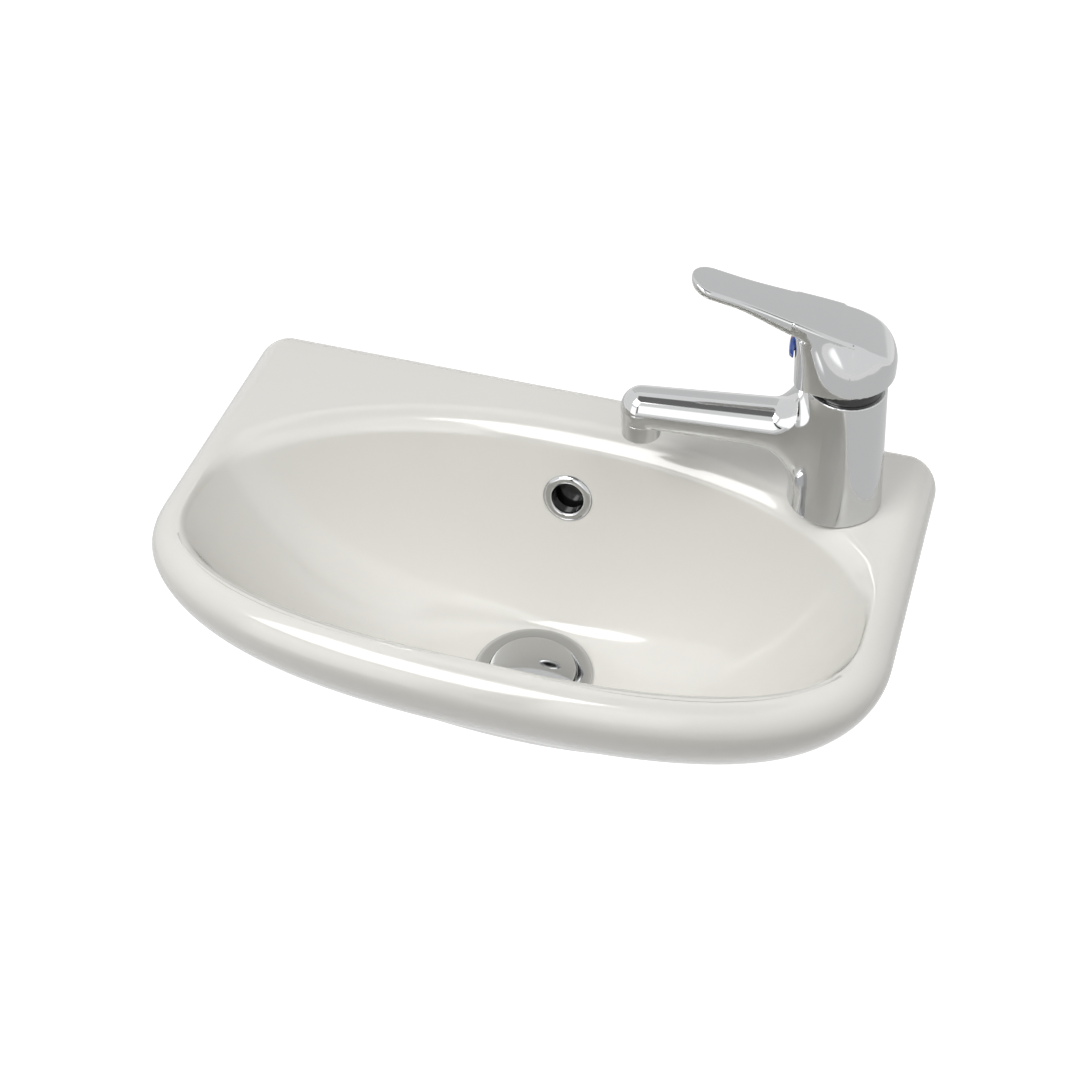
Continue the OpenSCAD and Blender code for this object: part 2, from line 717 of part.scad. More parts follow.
module spout_solid() {
    nose = [for (t = [0:15:75]) [spout_reach + spout_r1 * sin(t), cos(t)]];
    ring_solid(concat(
        [for (u = [10, 16, 20, 23, 26, 29, 32, 36, 40, 45, 52, 62, 74, 88]) spout_section(u, 1)],
        [for (n = nose) spout_section(n[0], n[1])],
        [spout_section(spout_reach + spout_r1 - 0.05, 0.06)]));
}

module tap_body() {
    color(chrome) at_tap() difference() {
        union() {
            rotate_extrude()
                polygon([[0, foot_gap], [foot_d / 2 - edge, foot_gap], [foot_d / 2, foot_gap + edge],
                         [foot_d / 2 - 0.4, 4], [mix(foot_d, waist_d, 0.55) / 2, 16],
                         [waist_d / 2, waist_z], [top_d / 2 + edge, top_z - 8],
                         [top_d / 2, top_z - 0.8], [top_d / 2 - 0.8, top_z], [0, top_z]]);
            spout_solid();
            translate([spout_reach, 0, mouth_z]) cylinder(r = spout_r1 - 0.1, h = nose_z - mouth_z);
        }
        translate([0, 0, cart_z]) cylinder(d = chamber_d, h = top_z - cart_z + 1);
        translate([0, 0, spout_z - spout_u * tan(spout_tilt)]) rotate([0, 90 - spout_tilt, 0])
            translate([0, 0, over]) cylinder(d = spout_bore, h = spout_reach - over);
        translate([spout_reach, 0, outlet_z]) cylinder(d = aer_d + 2 * aer_gap, h = aer_h);
        translate([spout_reach, 0, mouth_z - 1])
            cylinder(d = aer_thread + 2 * run_fit, h = aer_thread_h + 2.6);
        translate([spout_reach, 0, mouth_z]) cylinder(d = spout_bore + 1, h = nose_z - mouth_z);
        for (s = [-1, 1]) {
            translate([inlet_u, s * inlet_v, -1]) cylinder(d = inlet_d, h = foot_gap + inlet_len + 1);
            translate([port_r * cos(port_turn), s * port_r * sin(port_turn), inlet_len - 1])
                cylinder(d = port_d, h = cart_z - inlet_len + 2);
        }
        translate([-stud_u, 0, -1]) cylinder(d = stud_d, h = stud_in + 1);
        translate([0, 0, -1]) difference() {
            cylinder(r = seal_out, h = 1 + base_seal_t);
            translate([0, 0, -1]) cylinder(r = seal_in, h = 3 + base_seal_t);
        }
    }
}

module tap_base_seal() {
    color(rubber) at_tap() difference() {
        cylinder(r = seal_out - fit, h = base_seal_t);
        translate([0, 0, -1]) cylinder(r = seal_in + fit, h = base_seal_t + 2);
    }
}

module tap_stud() {
    color(brass) at_tap() translate([-stud_u, 0, -stud_len])
        cylinder(d = stud_d - 2 * run_fit, h = stud_len + stud_in - 1);
}

// A washer with a mouth, so that it slips round the stud and leaves the hoses free
module horseshoe(z, t) {
    at_tap() translate([0, 0, z]) difference() {
        cylinder(d = shoe_d, h = t);
        translate([inlet_u - inlet_d / 2 - 2 * hose_room, -inlet_v - inlet_d / 2 - hose_room, -1])
            cube([shoe_d, 2 * (inlet_v + hose_room) + inlet_d, t + 2]);
        translate([-stud_u, 0, -1]) cylinder(d = stud_d + stud_play, h = t + 2);
    }
}

module horseshoe_rubber() {
    color(rubber) horseshoe(shoe_top - shoe_rubber_t, shoe_rubber_t);
}

module horseshoe_metal() {
    color(steel) horseshoe(shoe_top - shoe_rubber_t - shoe_metal_t, shoe_metal_t);
}

module stud_nut() {
    z = shoe_top - shoe_rubber_t - shoe_metal_t - stud_nut_h;
    color(brass) at_tap() translate([-stud_u, 0, z]) difference() {
        cylinder(d = stud_nut_af / cos(30), h = stud_nut_h, $fn = 6);
        translate([0, 0, -1]) cylinder(d = stud_d, h = stud_nut_h + 2);
    }
}

// Levels inside the cartridge, from its floor upwards
seal_t = 1;
case_z = cart_z + seal_t;
case_in = cart_d / 2 - cart_wall;
plate_z = case_z + 3;
disc_z = plate_z + disc_t;
pivot_z = cart_z + pivot_up;
ball_r = 2.8;
ball_z = disc_z + disc_t + 1.5;
throw = (pivot_z - ball_z) * lift_max * PI / 180;
pocket_floor = ball_z - ball_r - 0.4;
moving_top = ball_z + 0.6;
rotor_z = moving_top + 0.3;
case_top = case_z + cart_h;
rotor_top = case_top - 1;
nut_z = case_top;

module ports(z, h) {
    for (a = port_angles)
        translate([port_r * cos(a), port_r * sin(a), z]) cylinder(d = port_d, h = h);
}

module cartridge_seals() {
    color(rubber) at_tap() for (a = port_angles)
        translate([port_r * cos(a), port_r * sin(a), cart_z]) difference() {
            cylinder(d = port_d + 2.6, h = seal_t);
            translate([0, 0, -1]) cylinder(d = port_d, h = seal_t + 2);
        }
}

module cartridge_case() {
    color(nylon) at_tap() difference() {
        union() {
            translate([0, 0, case_z]) cylinder(d = cart_d, h = cart_h);
            translate([0, 0, case_top - 4]) cylinder(d = chamber_d - 2 * fit, h = 4);
        }
        translate([0, 0, plate_z]) cylinder(r = case_in, h = cart_h);
        ports(case_z - 1, 5);
        translate([0, 0, plate_z + 5]) rotate([0, 90, 0]) cylinder(d = 6, h = cart_d);
    }
}

module fixed_disc() {
    color(alumina) at_tap() difference() {
        translate([0, 0, plate_z]) cylinder(r = case_in - fit, h = disc_t);
        ports(plate_z - 1, disc_t + 2);
    }
}

module moving_disc() {
    color(alumina) at_tap() translate([-throw / 2, 0, 0]) difference() {
        translate([0, 0, disc_z]) cylinder(d = disc_d, h = moving_top - disc_z);
        translate([throw / 2, 0, pocket_floor]) cylinder(r = ball_r + 0.35, h = 8);
    }
}

module cartridge_rotor() {
    slot = stem_w + 2 * (rotor_top - pivot_z) * sin(lift_max) + 1;
    color(nylon) at_tap() difference() {
        translate([0, 0, rotor_z]) cylinder(r = case_in - run_fit, h = rotor_top - rotor_z);
        translate([-slot / 2, -stem_w / 2 + 0.8, rotor_z - 1])
            cube([slot, stem_w - 1.6, rotor_top - rotor_z + 2]);
        translate([0, case_in, pivot_z]) rotate([90, 0, 0]) cylinder(d = pin_d, h = 2 * case_in);
    }
}

module cartridge_stem() {
    color(steel) at_tap() difference() {
        union() {
            translate([0, 0, ball_z]) sphere(r = ball_r);
            translate([0, 0, ball_z]) cylinder(r = 2, h = pivot_z - ball_z);
            translate([-3.5, -stem_w / 2 + 1, pivot_z - 4]) cube([7, stem_w - 2, nut_z - pivot_z + 8]);
            translate([-stem_w / 2, -stem_w / 2, nut_z + 3])
                cube([stem_w, stem_w, stem_top - nut_z - 3]);
        }
        translate([0, stem_w, pivot_z]) rotate([90, 0, 0])
            cylinder(d = pin_d + 2 * run_fit, h = 2 * stem_w);
    }
}

module stem_pin() {
    color(steel) at_tap() translate([0, case_in - 0.6, pivot_z]) rotate([90, 0, 0])
        cylinder(d = pin_d, h = 2 * case_in - 1.2);
}

module cartridge_nut() {
    z1 = nut_z + nut_h;
    color(brass) at_tap() rotate_extrude()
        polygon([[case_in - 1.2, nut_z], [chamber_d / 2 - run_fit, nut_z],
                 [chamber_d / 2 - run_fit, z1], [case_in + 0.8, z1]]);
}

shroud_in = chamber_d / 2 + 0.7;
shroud_out = top_d / 2 - 2.3;

module shroud_ring() {
    color(rubber) at_tap() rotate_extrude()
        polygon([[shroud_in, top_z], [shroud_out, top_z], [shroud_out, top_z + shroud_h - 3],
                 [shroud_out - 0.8, top_z + shroud_h - 1], [shroud_in + 0.8, top_z + shroud_h],
                 [shroud_in, top_z + shroud_h - 0.5]]);
}

// Sizes of the lever's section at a distance u from the tap's axis
skirt_z = top_z + lever_gap;
nose_lean = 1.5;
nose_foot = 3;
head_drop = 15.5;
root_t = 9;
back_angles = [86, 75, 62, 48, 34, 20, 8];
nose_shares = [0.07, 0.25, 0.44, 0.62, 0.77, 0.88, 0.95, 1];
arm_shares = [0, 0.08, 0.19, 0.32, 0.47, 0.65, 0.82, 1];
function lever_top(u) =
    head_top + arm_slope * u
    - (u < 0 ? head_drop * (1 - sqrt(1 - pow(u / (head_r + 1), 2))) : 0);
function skirt_low(u) = skirt_z - skirt_slope * u - nose_foot * soft((u - 16) / 11);
function top_w(u) =
    u < 0 ? head_w * sqrt(max(0.02, 1 - pow(u / head_r, 2)))
    : u < tip_u - arm_w ? mix(head_w, arm_w, soft(u / 62))
    : arm_w * sqrt(max(0.03, 1 - pow((u - tip_u + arm_w) / arm_w, 2)));
function skirt_w(u) =
    u < 0 ? sqrt(max(1, head_r * head_r - u * u))
    : head_r * sqrt(1 - pow(u / (nose_u * 1.03), 2.3));
function arm_t(u) = mix(root_t, tip_t, soft((u - nose_u) / 34))
    * (u > tip_u - arm_w ? sqrt(max(0.05, 1 - pow((u - tip_u + arm_w) / arm_w, 2))) : 1);

// Half of a section, from the middle of the top down to the middle of the underside
function half_section(u, head) =
    let (zt = lever_top(u),
         wt = top_w(u),
         zb = head ? skirt_low(u) : zt - arm_t(u),
         wb = head ? skirt_w(u) : wt * 0.55,
         ze = zt - min(2.2, arm_t(max(u, nose_u)) * 0.35))
    [[0, zt + 0.8], [wt * 0.55, zt + 0.55], [wt * 0.88, zt - 0.4], [wt, ze],
     head ? [mix(wt, wb, 0.45), mix(ze, zb, 0.3)] : [wt * 0.94, mix(ze, zb, 0.4)],
     head ? [mix(wt, wb, 0.92), mix(ze, zb, 0.65)] : [wt * 0.78, mix(ze, zb, 0.8)],
     [wb, zb + (head ? 0.8 : 0.15)], [wb * 0.5, zb], [0, zb]];
function lever_section(u, head) =
    let (h = half_section(u, head), n = len(h))
    concat([for (p = h) [u, p[0], p[1]]], [for (i = [n - 2:-1:1]) [u, -h[i][0], h[i][1]]]);

module lever_solid() {
    head = [for (t = back_angles) -head_r * sin(t)];
    ring_solid(concat(
        [for (u = head) lever_section(u, true)],
        [for (s = nose_shares) lever_section(nose_u * s, true)],
        [for (s = arm_shares) lever_section(mix(nose_u + nose_lean, tip_u - arm_w, s), false)],
        [for (t = [20:14:76]) lever_section(tip_u - arm_w + arm_w * sin(t), false)]));
}

module lever() {
    color(chrome) at_tap() difference() {
        lever_solid();
        translate([0, 0, skirt_z - 12]) cylinder(r = hollow_r, h = hollow_top - skirt_z + 12);
        translate([-stem_w / 2 - run_fit, -stem_w / 2 - run_fit, hollow_top - 1])
            cube([stem_w + 2 * run_fit, stem_w + 2 * run_fit, stem_top - hollow_top + 1.4]);
        translate([0, 0, screw_z]) rotate([0, 90, 0]) cylinder(d = screw_d + 2 * run_fit, h = nose_u + 5);
    }
}

module lever_screw() {
    color(steel) at_tap() translate([stem_w / 2 + run_fit, 0, screw_z]) rotate([0, 90, 0]) difference() {
        cylinder(d = screw_d, h = screw_len);
        translate([0, 0, screw_len - 3]) cylinder(d = screw_d / 2, h = 4, $fn = 6);
    }
}

module temperature_button() {
    color([0.2, 0.35, 0.75]) at_tap() translate([nose_u + 0.8 * nose_lean, 0, screw_z])
        rotate([0, 90, 0]) rotate_extrude()
        polygon([[0, -7], [screw_d / 2 - 0.1, -7], [screw_d / 2 - 0.1, 0], [button_d / 2, 0],
                 [button_d / 2, button_proud * 0.3], [button_d / 2 - 1, button_proud * 0.8],
                 [button_d / 4, button_proud], [0, button_proud]]);
}

module aerator_shell() {
    color(chrome) at_tap() translate([spout_reach, 0, outlet_z]) difference() {
        union() {
            cylinder(d = aer_d, h = aer_h - 0.1);
            cylinder(d = aer_thread, h = aer_h + aer_thread_h);
        }
        translate([0, 0, -1]) cylinder(d = aer_bore, h = aer_h + aer_thread_h + 2);
    }
}

module aerator_insert() {
    r = aer_bore / 2 - fit;
    rings = [[0, 1], [2.6, 6], [5.2, 12]];
    color(nylon) at_tap() translate([spout_reach, 0, outlet_z + 1.2]) difference() {
        cylinder(r = r, h = aer_h + aer_thread_h - 1.4);
        for (ring = rings)
            for (k = [0:ring[1] - 1])
                rotate([0, 0, 360 * k / ring[1]]) translate([ring[0], 0, -1])
                    cylinder(d = jet_d, h = aer_h + aer_thread_h + 2);
    }
}

module aerator_washer() {
    color(rubber) at_tap() translate([spout_reach, 0, outlet_z + aer_h + aer_thread_h]) difference() {
        cylinder(d = aer_thread - 2 * fit, h = aer_washer_t);
        translate([0, 0, -1]) cylinder(d = aer_bore - 2, h = aer_washer_t + 2);
    }
}

basin_body();
overflow_ring();
waste_body();
waste_flange_seal();
waste_taper_washer();
waste_slip_washer();
waste_backnut();
click_barrel();
click_spring();
plug_rod();
plug_gasket();
plug_cap();
tap_body();
tap_base_seal();
tap_stud();
horseshoe_rubber();
horseshoe_metal();
stud_nut();
cartridge_seals();
cartridge_case();
fixed_disc();
moving_disc();
cartridge_rotor();
cartridge_stem();
stem_pin();
cartridge_nut();
shroud_ring();
lever();
lever_screw();
temperature_button();
aerator_shell();
aerator_insert();
aerator_washer();
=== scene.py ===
import math

import bmesh
import bpy
import numpy as np
from mathutils import Matrix, Vector
from mathutils.bvhtree import BVHTree
from mathutils.interpolate import poly_3d_calc


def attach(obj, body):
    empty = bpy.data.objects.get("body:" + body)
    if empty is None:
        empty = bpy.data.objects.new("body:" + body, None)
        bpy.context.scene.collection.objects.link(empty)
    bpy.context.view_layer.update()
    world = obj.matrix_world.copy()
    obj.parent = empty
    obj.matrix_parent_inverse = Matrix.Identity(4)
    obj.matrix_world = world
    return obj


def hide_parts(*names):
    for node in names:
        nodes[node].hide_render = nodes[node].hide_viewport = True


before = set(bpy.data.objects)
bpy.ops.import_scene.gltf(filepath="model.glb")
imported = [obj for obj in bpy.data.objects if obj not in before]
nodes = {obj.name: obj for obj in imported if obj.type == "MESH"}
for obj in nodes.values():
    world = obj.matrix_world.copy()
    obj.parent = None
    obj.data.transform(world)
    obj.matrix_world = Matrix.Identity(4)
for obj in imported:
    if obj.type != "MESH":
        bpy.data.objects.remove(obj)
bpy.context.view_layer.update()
scene = bpy.context.scene
scene.view_settings.view_transform = "Standard"

# Sizes in millimetres, the same as in the part's source
basin = dict(width=398, depth=234, side=146.5, frontPow=2.44, corner=17, frontRound=15, backRound=7,
             lipH=57, lipIn=21, apronPow=1.65, lipT=9, panelH=128, panelT=12, panelIn=40, panelRun=48,
             bowlY=140, bowlA=181, bowlFront=74.5, bowlBack=99, bowlFrontPow=2.6, bowlBackPow=2.14,
             bowlDepth=114.5, ridgeBack=9, ridgeFront=3, slopeW=16, slopeShare=0.75,
             wallPow=1.6, wallPowSide=1, bowlT=7, deckT=12, deckZ=75,
             wasteY=118, wasteHole=46, bossD=62, bossH=17, floorR=35.5, tapHole=35, bolt=14, boltGap=200)
stations = dict(back=64, corner=12, side=26, front=150)


def mix(a, b, t):
    return a + (b - a) * t


def clamp(t):
    return np.clip(t, 0.0, 1.0)


def soft(t):
    s = clamp(t)
    return s * s * (3 - 2 * s)


def spow(v, p):
    return np.sign(v) * np.abs(v) ** p


# Mesh helpers
def newObject(name, points, faces, scale=0.001):
    mesh = bpy.data.meshes.new(name)
    mesh.from_pydata((np.asarray(points, dtype=float) * scale).tolist(), [], [list(f) for f in faces])
    mesh.update()
    piece = bpy.data.objects.new(name, mesh)
    scene.collection.objects.link(piece)
    return piece


def bake(piece):
    graph = bpy.context.evaluated_depsgraph_get()
    mesh = bpy.data.meshes.new_from_object(piece.evaluated_get(graph))
    piece.modifiers.clear()
    old = piece.data
    piece.data = mesh
    bpy.data.meshes.remove(old)
    mesh.name = piece.name
    return piece


def boolean(piece, tools, operation="DIFFERENCE"):
    for tool in tools:
        change = piece.modifiers.new("boolean", "BOOLEAN")
        change.operation = operation
        change.solver = "MANIFOLD"
        change.object = tool
    bake(piece)
    for tool in tools:
        mesh = tool.data
        bpy.data.objects.remove(tool)
        bpy.data.meshes.remove(mesh)
    return piece


def place(piece, matrix):
    piece.data.transform(matrix)
    piece.data.update()
    return piece


def smooth(piece, angle=35):
    mesh = piece.data
    mesh.polygons.foreach_set("use_smooth", np.ones(len(mesh.polygons), dtype=bool))
    mesh.set_sharp_from_angle(angle=math.radians(angle))
    mesh.update()
    return piece


def rounded(profile, sizes, steps=5):
    # Corner k of a closed profile becomes a curve that starts and ends sizes[k] away from it
    pts = [np.array(p, dtype=float) for p in profile]
    out = []
    n = len(pts)
    for k in range(n):
        size = sizes.get(k, 0)
        if not size:
            out.append(pts[k])
            continue
        back, ahead = pts[k - 1] - pts[k], pts[(k + 1) % n] - pts[k]
        start = pts[k] + back * min(size / np.linalg.norm(back), 0.48)
        end = pts[k] + ahead * min(size / np.linalg.norm(ahead), 0.48)
        for t in np.linspace(0, 1, steps + 1):
            out.append((1 - t) ** 2 * start + 2 * t * (1 - t) * pts[k] + t * t * end)
    return out


def lathe(name, profile, segments=128, matrix=None, closed=True):
    # A closed profile of (radius, height); points on the axis become poles
    rows, verts = [], []
    for r, z in profile:
        if r < 1e-6:
            rows.append([len(verts)])
            verts.append((0, 0, z))
        else:
            rows.append(list(range(len(verts), len(verts) + segments)))
            for k in range(segments):
                t = 2 * math.pi * k / segments
                verts.append((r * math.cos(t), r * math.sin(t), z))
    faces = []
    pairs = [(k, (k + 1) % len(rows)) for k in range(len(rows) if closed else len(rows) - 1)]
    for a, b in pairs:
        ra, rb = rows[a], rows[b]
        if len(ra) == 1 and len(rb) == 1:
            continue
        for k in range(segments):
            n = (k + 1) % segments
            if len(ra) == 1:
                faces.append((ra[0], rb[n], rb[k]))
            elif len(rb) == 1:
                faces.append((ra[k], ra[n], rb[0]))
            else:
                faces.append((ra[k], ra[n], rb[n], rb[k]))
    piece = newObject(name, verts, faces)
    outward(piece)
    if matrix is not None:
        place(piece, matrix)
    return piece


def outward(piece):
    mesh = bmesh.new()
    mesh.from_mesh(piece.data)
    bmesh.ops.recalc_face_normals(mesh, faces=mesh.faces)
    if mesh.calc_volume(signed=True) < 0:
        bmesh.ops.reverse_faces(mesh, faces=mesh.faces)
    mesh.to_mesh(piece.data)
    mesh.free()
    piece.data.update()
    return piece


# The basin: rings of points around the bowl, from the waste outwards and back underneath
def outline(sideIn, backIn):
    b, n = basin, stations
    a = b["width"] / 2 - sideIn
    bow = b["depth"] - b["side"] - sideIn
    r = max(b["corner"] - max(sideIn, backIn), 2)
    parts = []
    t = np.arange(n["back"]) / n["back"]
    parts.append(np.stack([mix(a - r, r - a, t), -backIn + 0 * t], 1))
    t = np.radians(90 + 90 * np.arange(n["corner"]) / n["corner"])
    parts.append(np.stack([r - a + r * np.cos(t), -backIn - r + r * np.sin(t)], 1))
    t = np.arange(n["side"]) / n["side"]
    parts.append(np.stack([-a + 0 * t, mix(-backIn - r, -b["side"], t)], 1))
    t = np.radians(180 + 180 * np.arange(n["front"]) / n["front"])
    parts.append(np.stack([a * spow(np.cos(t), 2 / b["frontPow"]),
                           -b["side"] + bow * spow(np.sin(t), 2 / b["frontPow"])], 1))
    t = np.arange(n["side"]) / n["side"]
    parts.append(np.stack([a + 0 * t, mix(-b["side"], -backIn - r, t)], 1))
    t = np.radians(90 * np.arange(n["corner"]) / n["corner"])
    parts.append(np.stack([a - r + r * np.cos(t), -backIn - r + r * np.sin(t)], 1))
    return np.concatenate(parts)


rim = outline(0, 0)
bowlC = np.array([0.0, -basin["bowlY"]])
wasteC = np.array([0.0, -basin["wasteY"]])
dirs = (rim - bowlC) / np.linalg.norm(rim - bowlC, axis=1)[:, None]
count = len(rim)
index = np.arange(count)
nb, nc = stations["back"], stations["corner"]
backness = np.where(index <= nb, 1.0,
                    np.where(index < nb + nc, 1 - (index - nb) / nc,
                             np.where(index >= count - nc, (index - count + nc) / nc, 0.0)))
openness = soft((rim[:, 1] + basin["side"] - 20) / 60)


def atZ(p, z):
    return np.concatenate([p, np.broadcast_to(np.asarray(z, dtype=float), (len(p),))[:, None]], axis=1)


def bowlReach(d):
    b = basin
    back = d[:, 1] > 0
    n = np.where(back, b["bowlBackPow"], b["bowlFrontPow"])
    reach = np.where(back, b["bowlBack"], b["bowlFront"])
    return 1 / ((np.abs(d[:, 0]) / b["bowlA"]) ** n + (np.abs(d[:, 1]) / reach) ** n) ** (1 / n)


def ridgeZ(d):
    return -mix(basin["ridgeFront"], basin["ridgeBack"], soft((d[:, 1] + 0.5) / 1.1))


def wallPower(d):
    return basin["wallPow"] + basin["wallPowSide"] * d[:, 0] ** 2


def bowlEdge(d):
    return bowlC + d * bowlReach(d)[:, None]


def bowlPoint(d, w):
    w = np.broadcast_to(np.asarray(w, dtype=float), (len(d),))
    p = mix(wasteC + d * basin["floorR"], bowlEdge(d), w[:, None])
    z = -basin["bowlDepth"] + (basin["bowlDepth"] + ridgeZ(d)) * np.maximum(w, 0) ** wallPower(d)
    return atZ(p, z)


def bowlNormal(d, w):
    w = np.broadcast_to(np.asarray(w, dtype=float), (len(d),))
    t = bowlPoint(d, np.minimum(w + 0.02, 1)) - bowlPoint(d, np.maximum(w - 0.02, 0))
    run = np.linalg.norm(t[:, :2], axis=1)
    size = np.linalg.norm(t, axis=1)
    return np.stack([d[:, 0] * t[:, 2] / size, d[:, 1] * t[:, 2] / size, -run / size], 1)


def bowlOffset(d, w, t):
    return bowlPoint(d, w) + bowlNormal(d, w) * t


def bowlShare(d, z):
    return clamp((z + basin["bowlDepth"]) / (basin["bowlDepth"] + ridgeZ(d))) ** (1 / wallPower(d))


def footZ():
    b = basin
    out = b["width"] / 2 - b["panelIn"]
    mid = out - b["panelRun"]
    deep = -mix(b["lipH"], b["panelH"], 1 - soft((np.abs(rim[:, 0]) - mid) / (out - mid)))
    return np.where(backness < 1, -b["lipH"], deep)


def slopeRing(s):
    b = basin
    e = bowlEdge(dirs)
    top = outline(b["frontRound"], b["backRound"])
    reach = np.minimum(b["slopeW"], b["slopeShare"] * np.linalg.norm(top - e, axis=1))
    return atZ(e + dirs * (reach * s)[:, None], ridgeZ(dirs) * (1 - s) ** 2)


def roundRing(t):
    b = basin
    t = math.radians(t)
    at = mix(b["frontRound"], b["backRound"], backness)
    return atZ(outline(b["frontRound"] * (1 - math.sin(t)), b["backRound"] * (1 - math.sin(t))),
               -at * (1 - math.cos(t)))


def apronRing(s):
    at = mix(basin["frontRound"], basin["backRound"], backness)
    return atZ(outline(basin["lipIn"] * s ** basin["apronPow"], 0), mix(-at, footZ(), s))


shellStart = mix(bowlShare(dirs, -basin["lipH"]), 0.9, openness)


def underRing(k):
    b = basin
    foot = atZ(outline(b["lipIn"], 0), footZ())
    shut = mix(foot, bowlOffset(dirs, shellStart, b["bowlT"]), 0.25 * k)
    if k == 1:
        wide = atZ(outline(b["lipIn"] + b["lipT"], b["panelT"]), footZ())
    elif k == 2:
        wide = atZ(outline(b["lipT"], b["panelT"]), -b["deckT"])
    else:
        wide = atZ(bowlEdge(dirs) + dirs * b["bowlT"], -b["deckT"])
    return mix(shut, wide, openness[:, None])


def between(a, b, steps):
    return [mix(a, b, t) for t in np.linspace(0, 1, steps + 1)[1:-1]]


def bend(before, corner, after, size, steps=6):
    # Rings that round the crease at corner over about size on either side
    def toward(to):
        gap = np.linalg.norm(to - corner, axis=1)[:, None]
        return corner + (to - corner) * np.minimum(size / np.maximum(gap, 1e-6), 0.46)
    start, end = toward(before), toward(after)
    return [(1 - t) ** 2 * start + 2 * t * (1 - t) * corner + t * t * end
            for t in np.linspace(0, 1, steps + 1)]


def basinRings():
    b = basin
    circle = lambda r, z: atZ(wasteC + dirs * r, z)
    rings = []
    # The bowl, up to the ridge, which is rounded
    walls = np.concatenate([np.linspace(0, 0.9, 46), np.linspace(0.9, 0.975, 9)[1:]])
    rings += [bowlPoint(dirs, w) for w in walls]
    rings += bend(bowlPoint(dirs, 0.95), bowlPoint(dirs, 1), slopeRing(0.2), 2.6, 8)
    rings += [slopeRing(s) for s in np.linspace(0.24, 1, 14)]
    deckIn, deckOut = slopeRing(1), roundRing(0)
    rings += between(deckIn, deckOut, 5)
    rings += [roundRing(t) for t in np.linspace(0, 90, 15)]
    rings += [apronRing(s) for s in np.linspace(0.08, 0.9, 14)]
    foot, inner = apronRing(1), underRing(1)
    rings += bend(apronRing(0.9), foot, inner, 3, 6)
    roof, neck = underRing(2), underRing(3)
    rings += bend(foot, inner, roof, 3, 6)
    rings += between(inner, roof, 8)[1:-1]
    rings += bend(inner, roof, neck, 4, 6)
    rings += between(roof, neck, 8)[1:-1]
    shell = [bowlOffset(dirs, shellStart * s, b["bowlT"]) for s in np.linspace(1, 0.1, 22)]
    rings += bend(roof, neck, shell[0], 3, 5)
    rings += shell
    top = -b["bowlDepth"] - b["bowlT"] - 1.5
    bossTop, bossFoot = circle(b["bossD"] / 2, top), circle(b["bossD"] / 2, -b["bowlDepth"] - b["bossH"])
    holeFoot = circle(b["wasteHole"] / 2, -b["bowlDepth"] - b["bossH"])
    holeTop = circle(b["wasteHole"] / 2, -b["bowlDepth"])
    rings += bend(shell[-1], bossTop, bossFoot, 3, 4)
    rings += bend(bossTop, bossFoot, holeFoot, 1.5, 4)
    rings += bend(bossFoot, holeFoot, holeTop, 1.5, 4)
    rings += bend(holeFoot, holeTop, circle(b["floorR"], -b["bowlDepth"]), 0.8, 4)
    rings += [circle(r, -b["bowlDepth"]) for r in (27, 32)]
    return np.array(rings)


def ringFaces(rows, columns):
    j, i = np.meshgrid(np.arange(rows), np.arange(columns), indexing="ij")
    a = j * columns + i
    b = j * columns + (i + 1) % columns
    c = (j + 1) % rows * columns + (i + 1) % columns
    d = (j + 1) % rows * columns + i
    return np.stack([a, b, c, d], -1).reshape(-1, 4)


def cylinder(name, r, z0, z1, matrix=None, flare=0, segments=96):
    # flare widens the mouth at z1 in a quarter round, for a rounded edge where it cuts
    profile = [(0, z0), (r, z0)]
    if flare:
        profile += [(r + flare * (1 - math.cos(t)), z1 - flare + flare * math.sin(t))
                    for t in np.linspace(0, math.pi / 2, 7)]
        profile += [(r + flare, z1 + 1), (0, z1 + 1)]
    else:
        profile += [(r, z1), (0, z1)]
    return lathe(name, profile, segments, matrix, closed=False)


def normalsFrom(piece, source, reach=1e-4):
    # Corners that lie on the uncut surface take its smooth normals back after a cut
    bm = bmesh.new()
    bm.from_mesh(source)
    tree = BVHTree.FromBMesh(bm)
    bm.free()
    mesh = piece.data
    vertexNormals = np.zeros(len(source.vertices) * 3)
    source.vertices.foreach_get("normal", vertexNormals)
    vertexNormals = vertexNormals.reshape(-1, 3)
    smooth(piece, 35)
    loops = np.zeros(len(mesh.loops) * 3)
    mesh.corner_normals.foreach_get("vector", loops)
    loops = loops.reshape(-1, 3)
    cache = {}
    for face in mesh.polygons:
        _, normal, _, gap = tree.find_nearest(face.center)
        if gap is None or gap > reach or normal.dot(face.normal) < 0.9:
            continue
        for loop in range(face.loop_start, face.loop_start + face.loop_total):
            v = mesh.loops[loop].vertex_index
            if v not in cache:
                p, _, nearest, _ = tree.find_nearest(mesh.vertices[v].co)
                corners = list(source.polygons[nearest].vertices)
                weights = poly_3d_calc([source.vertices[i].co for i in corners], p)
                n = sum((vertexNormals[i] * w for i, w in zip(corners, weights)), np.zeros(3))
                cache[v] = n / np.linalg.norm(n)
            loops[loop] = cache[v]
    mesh.normals_split_custom_set(loops.tolist())
    return piece


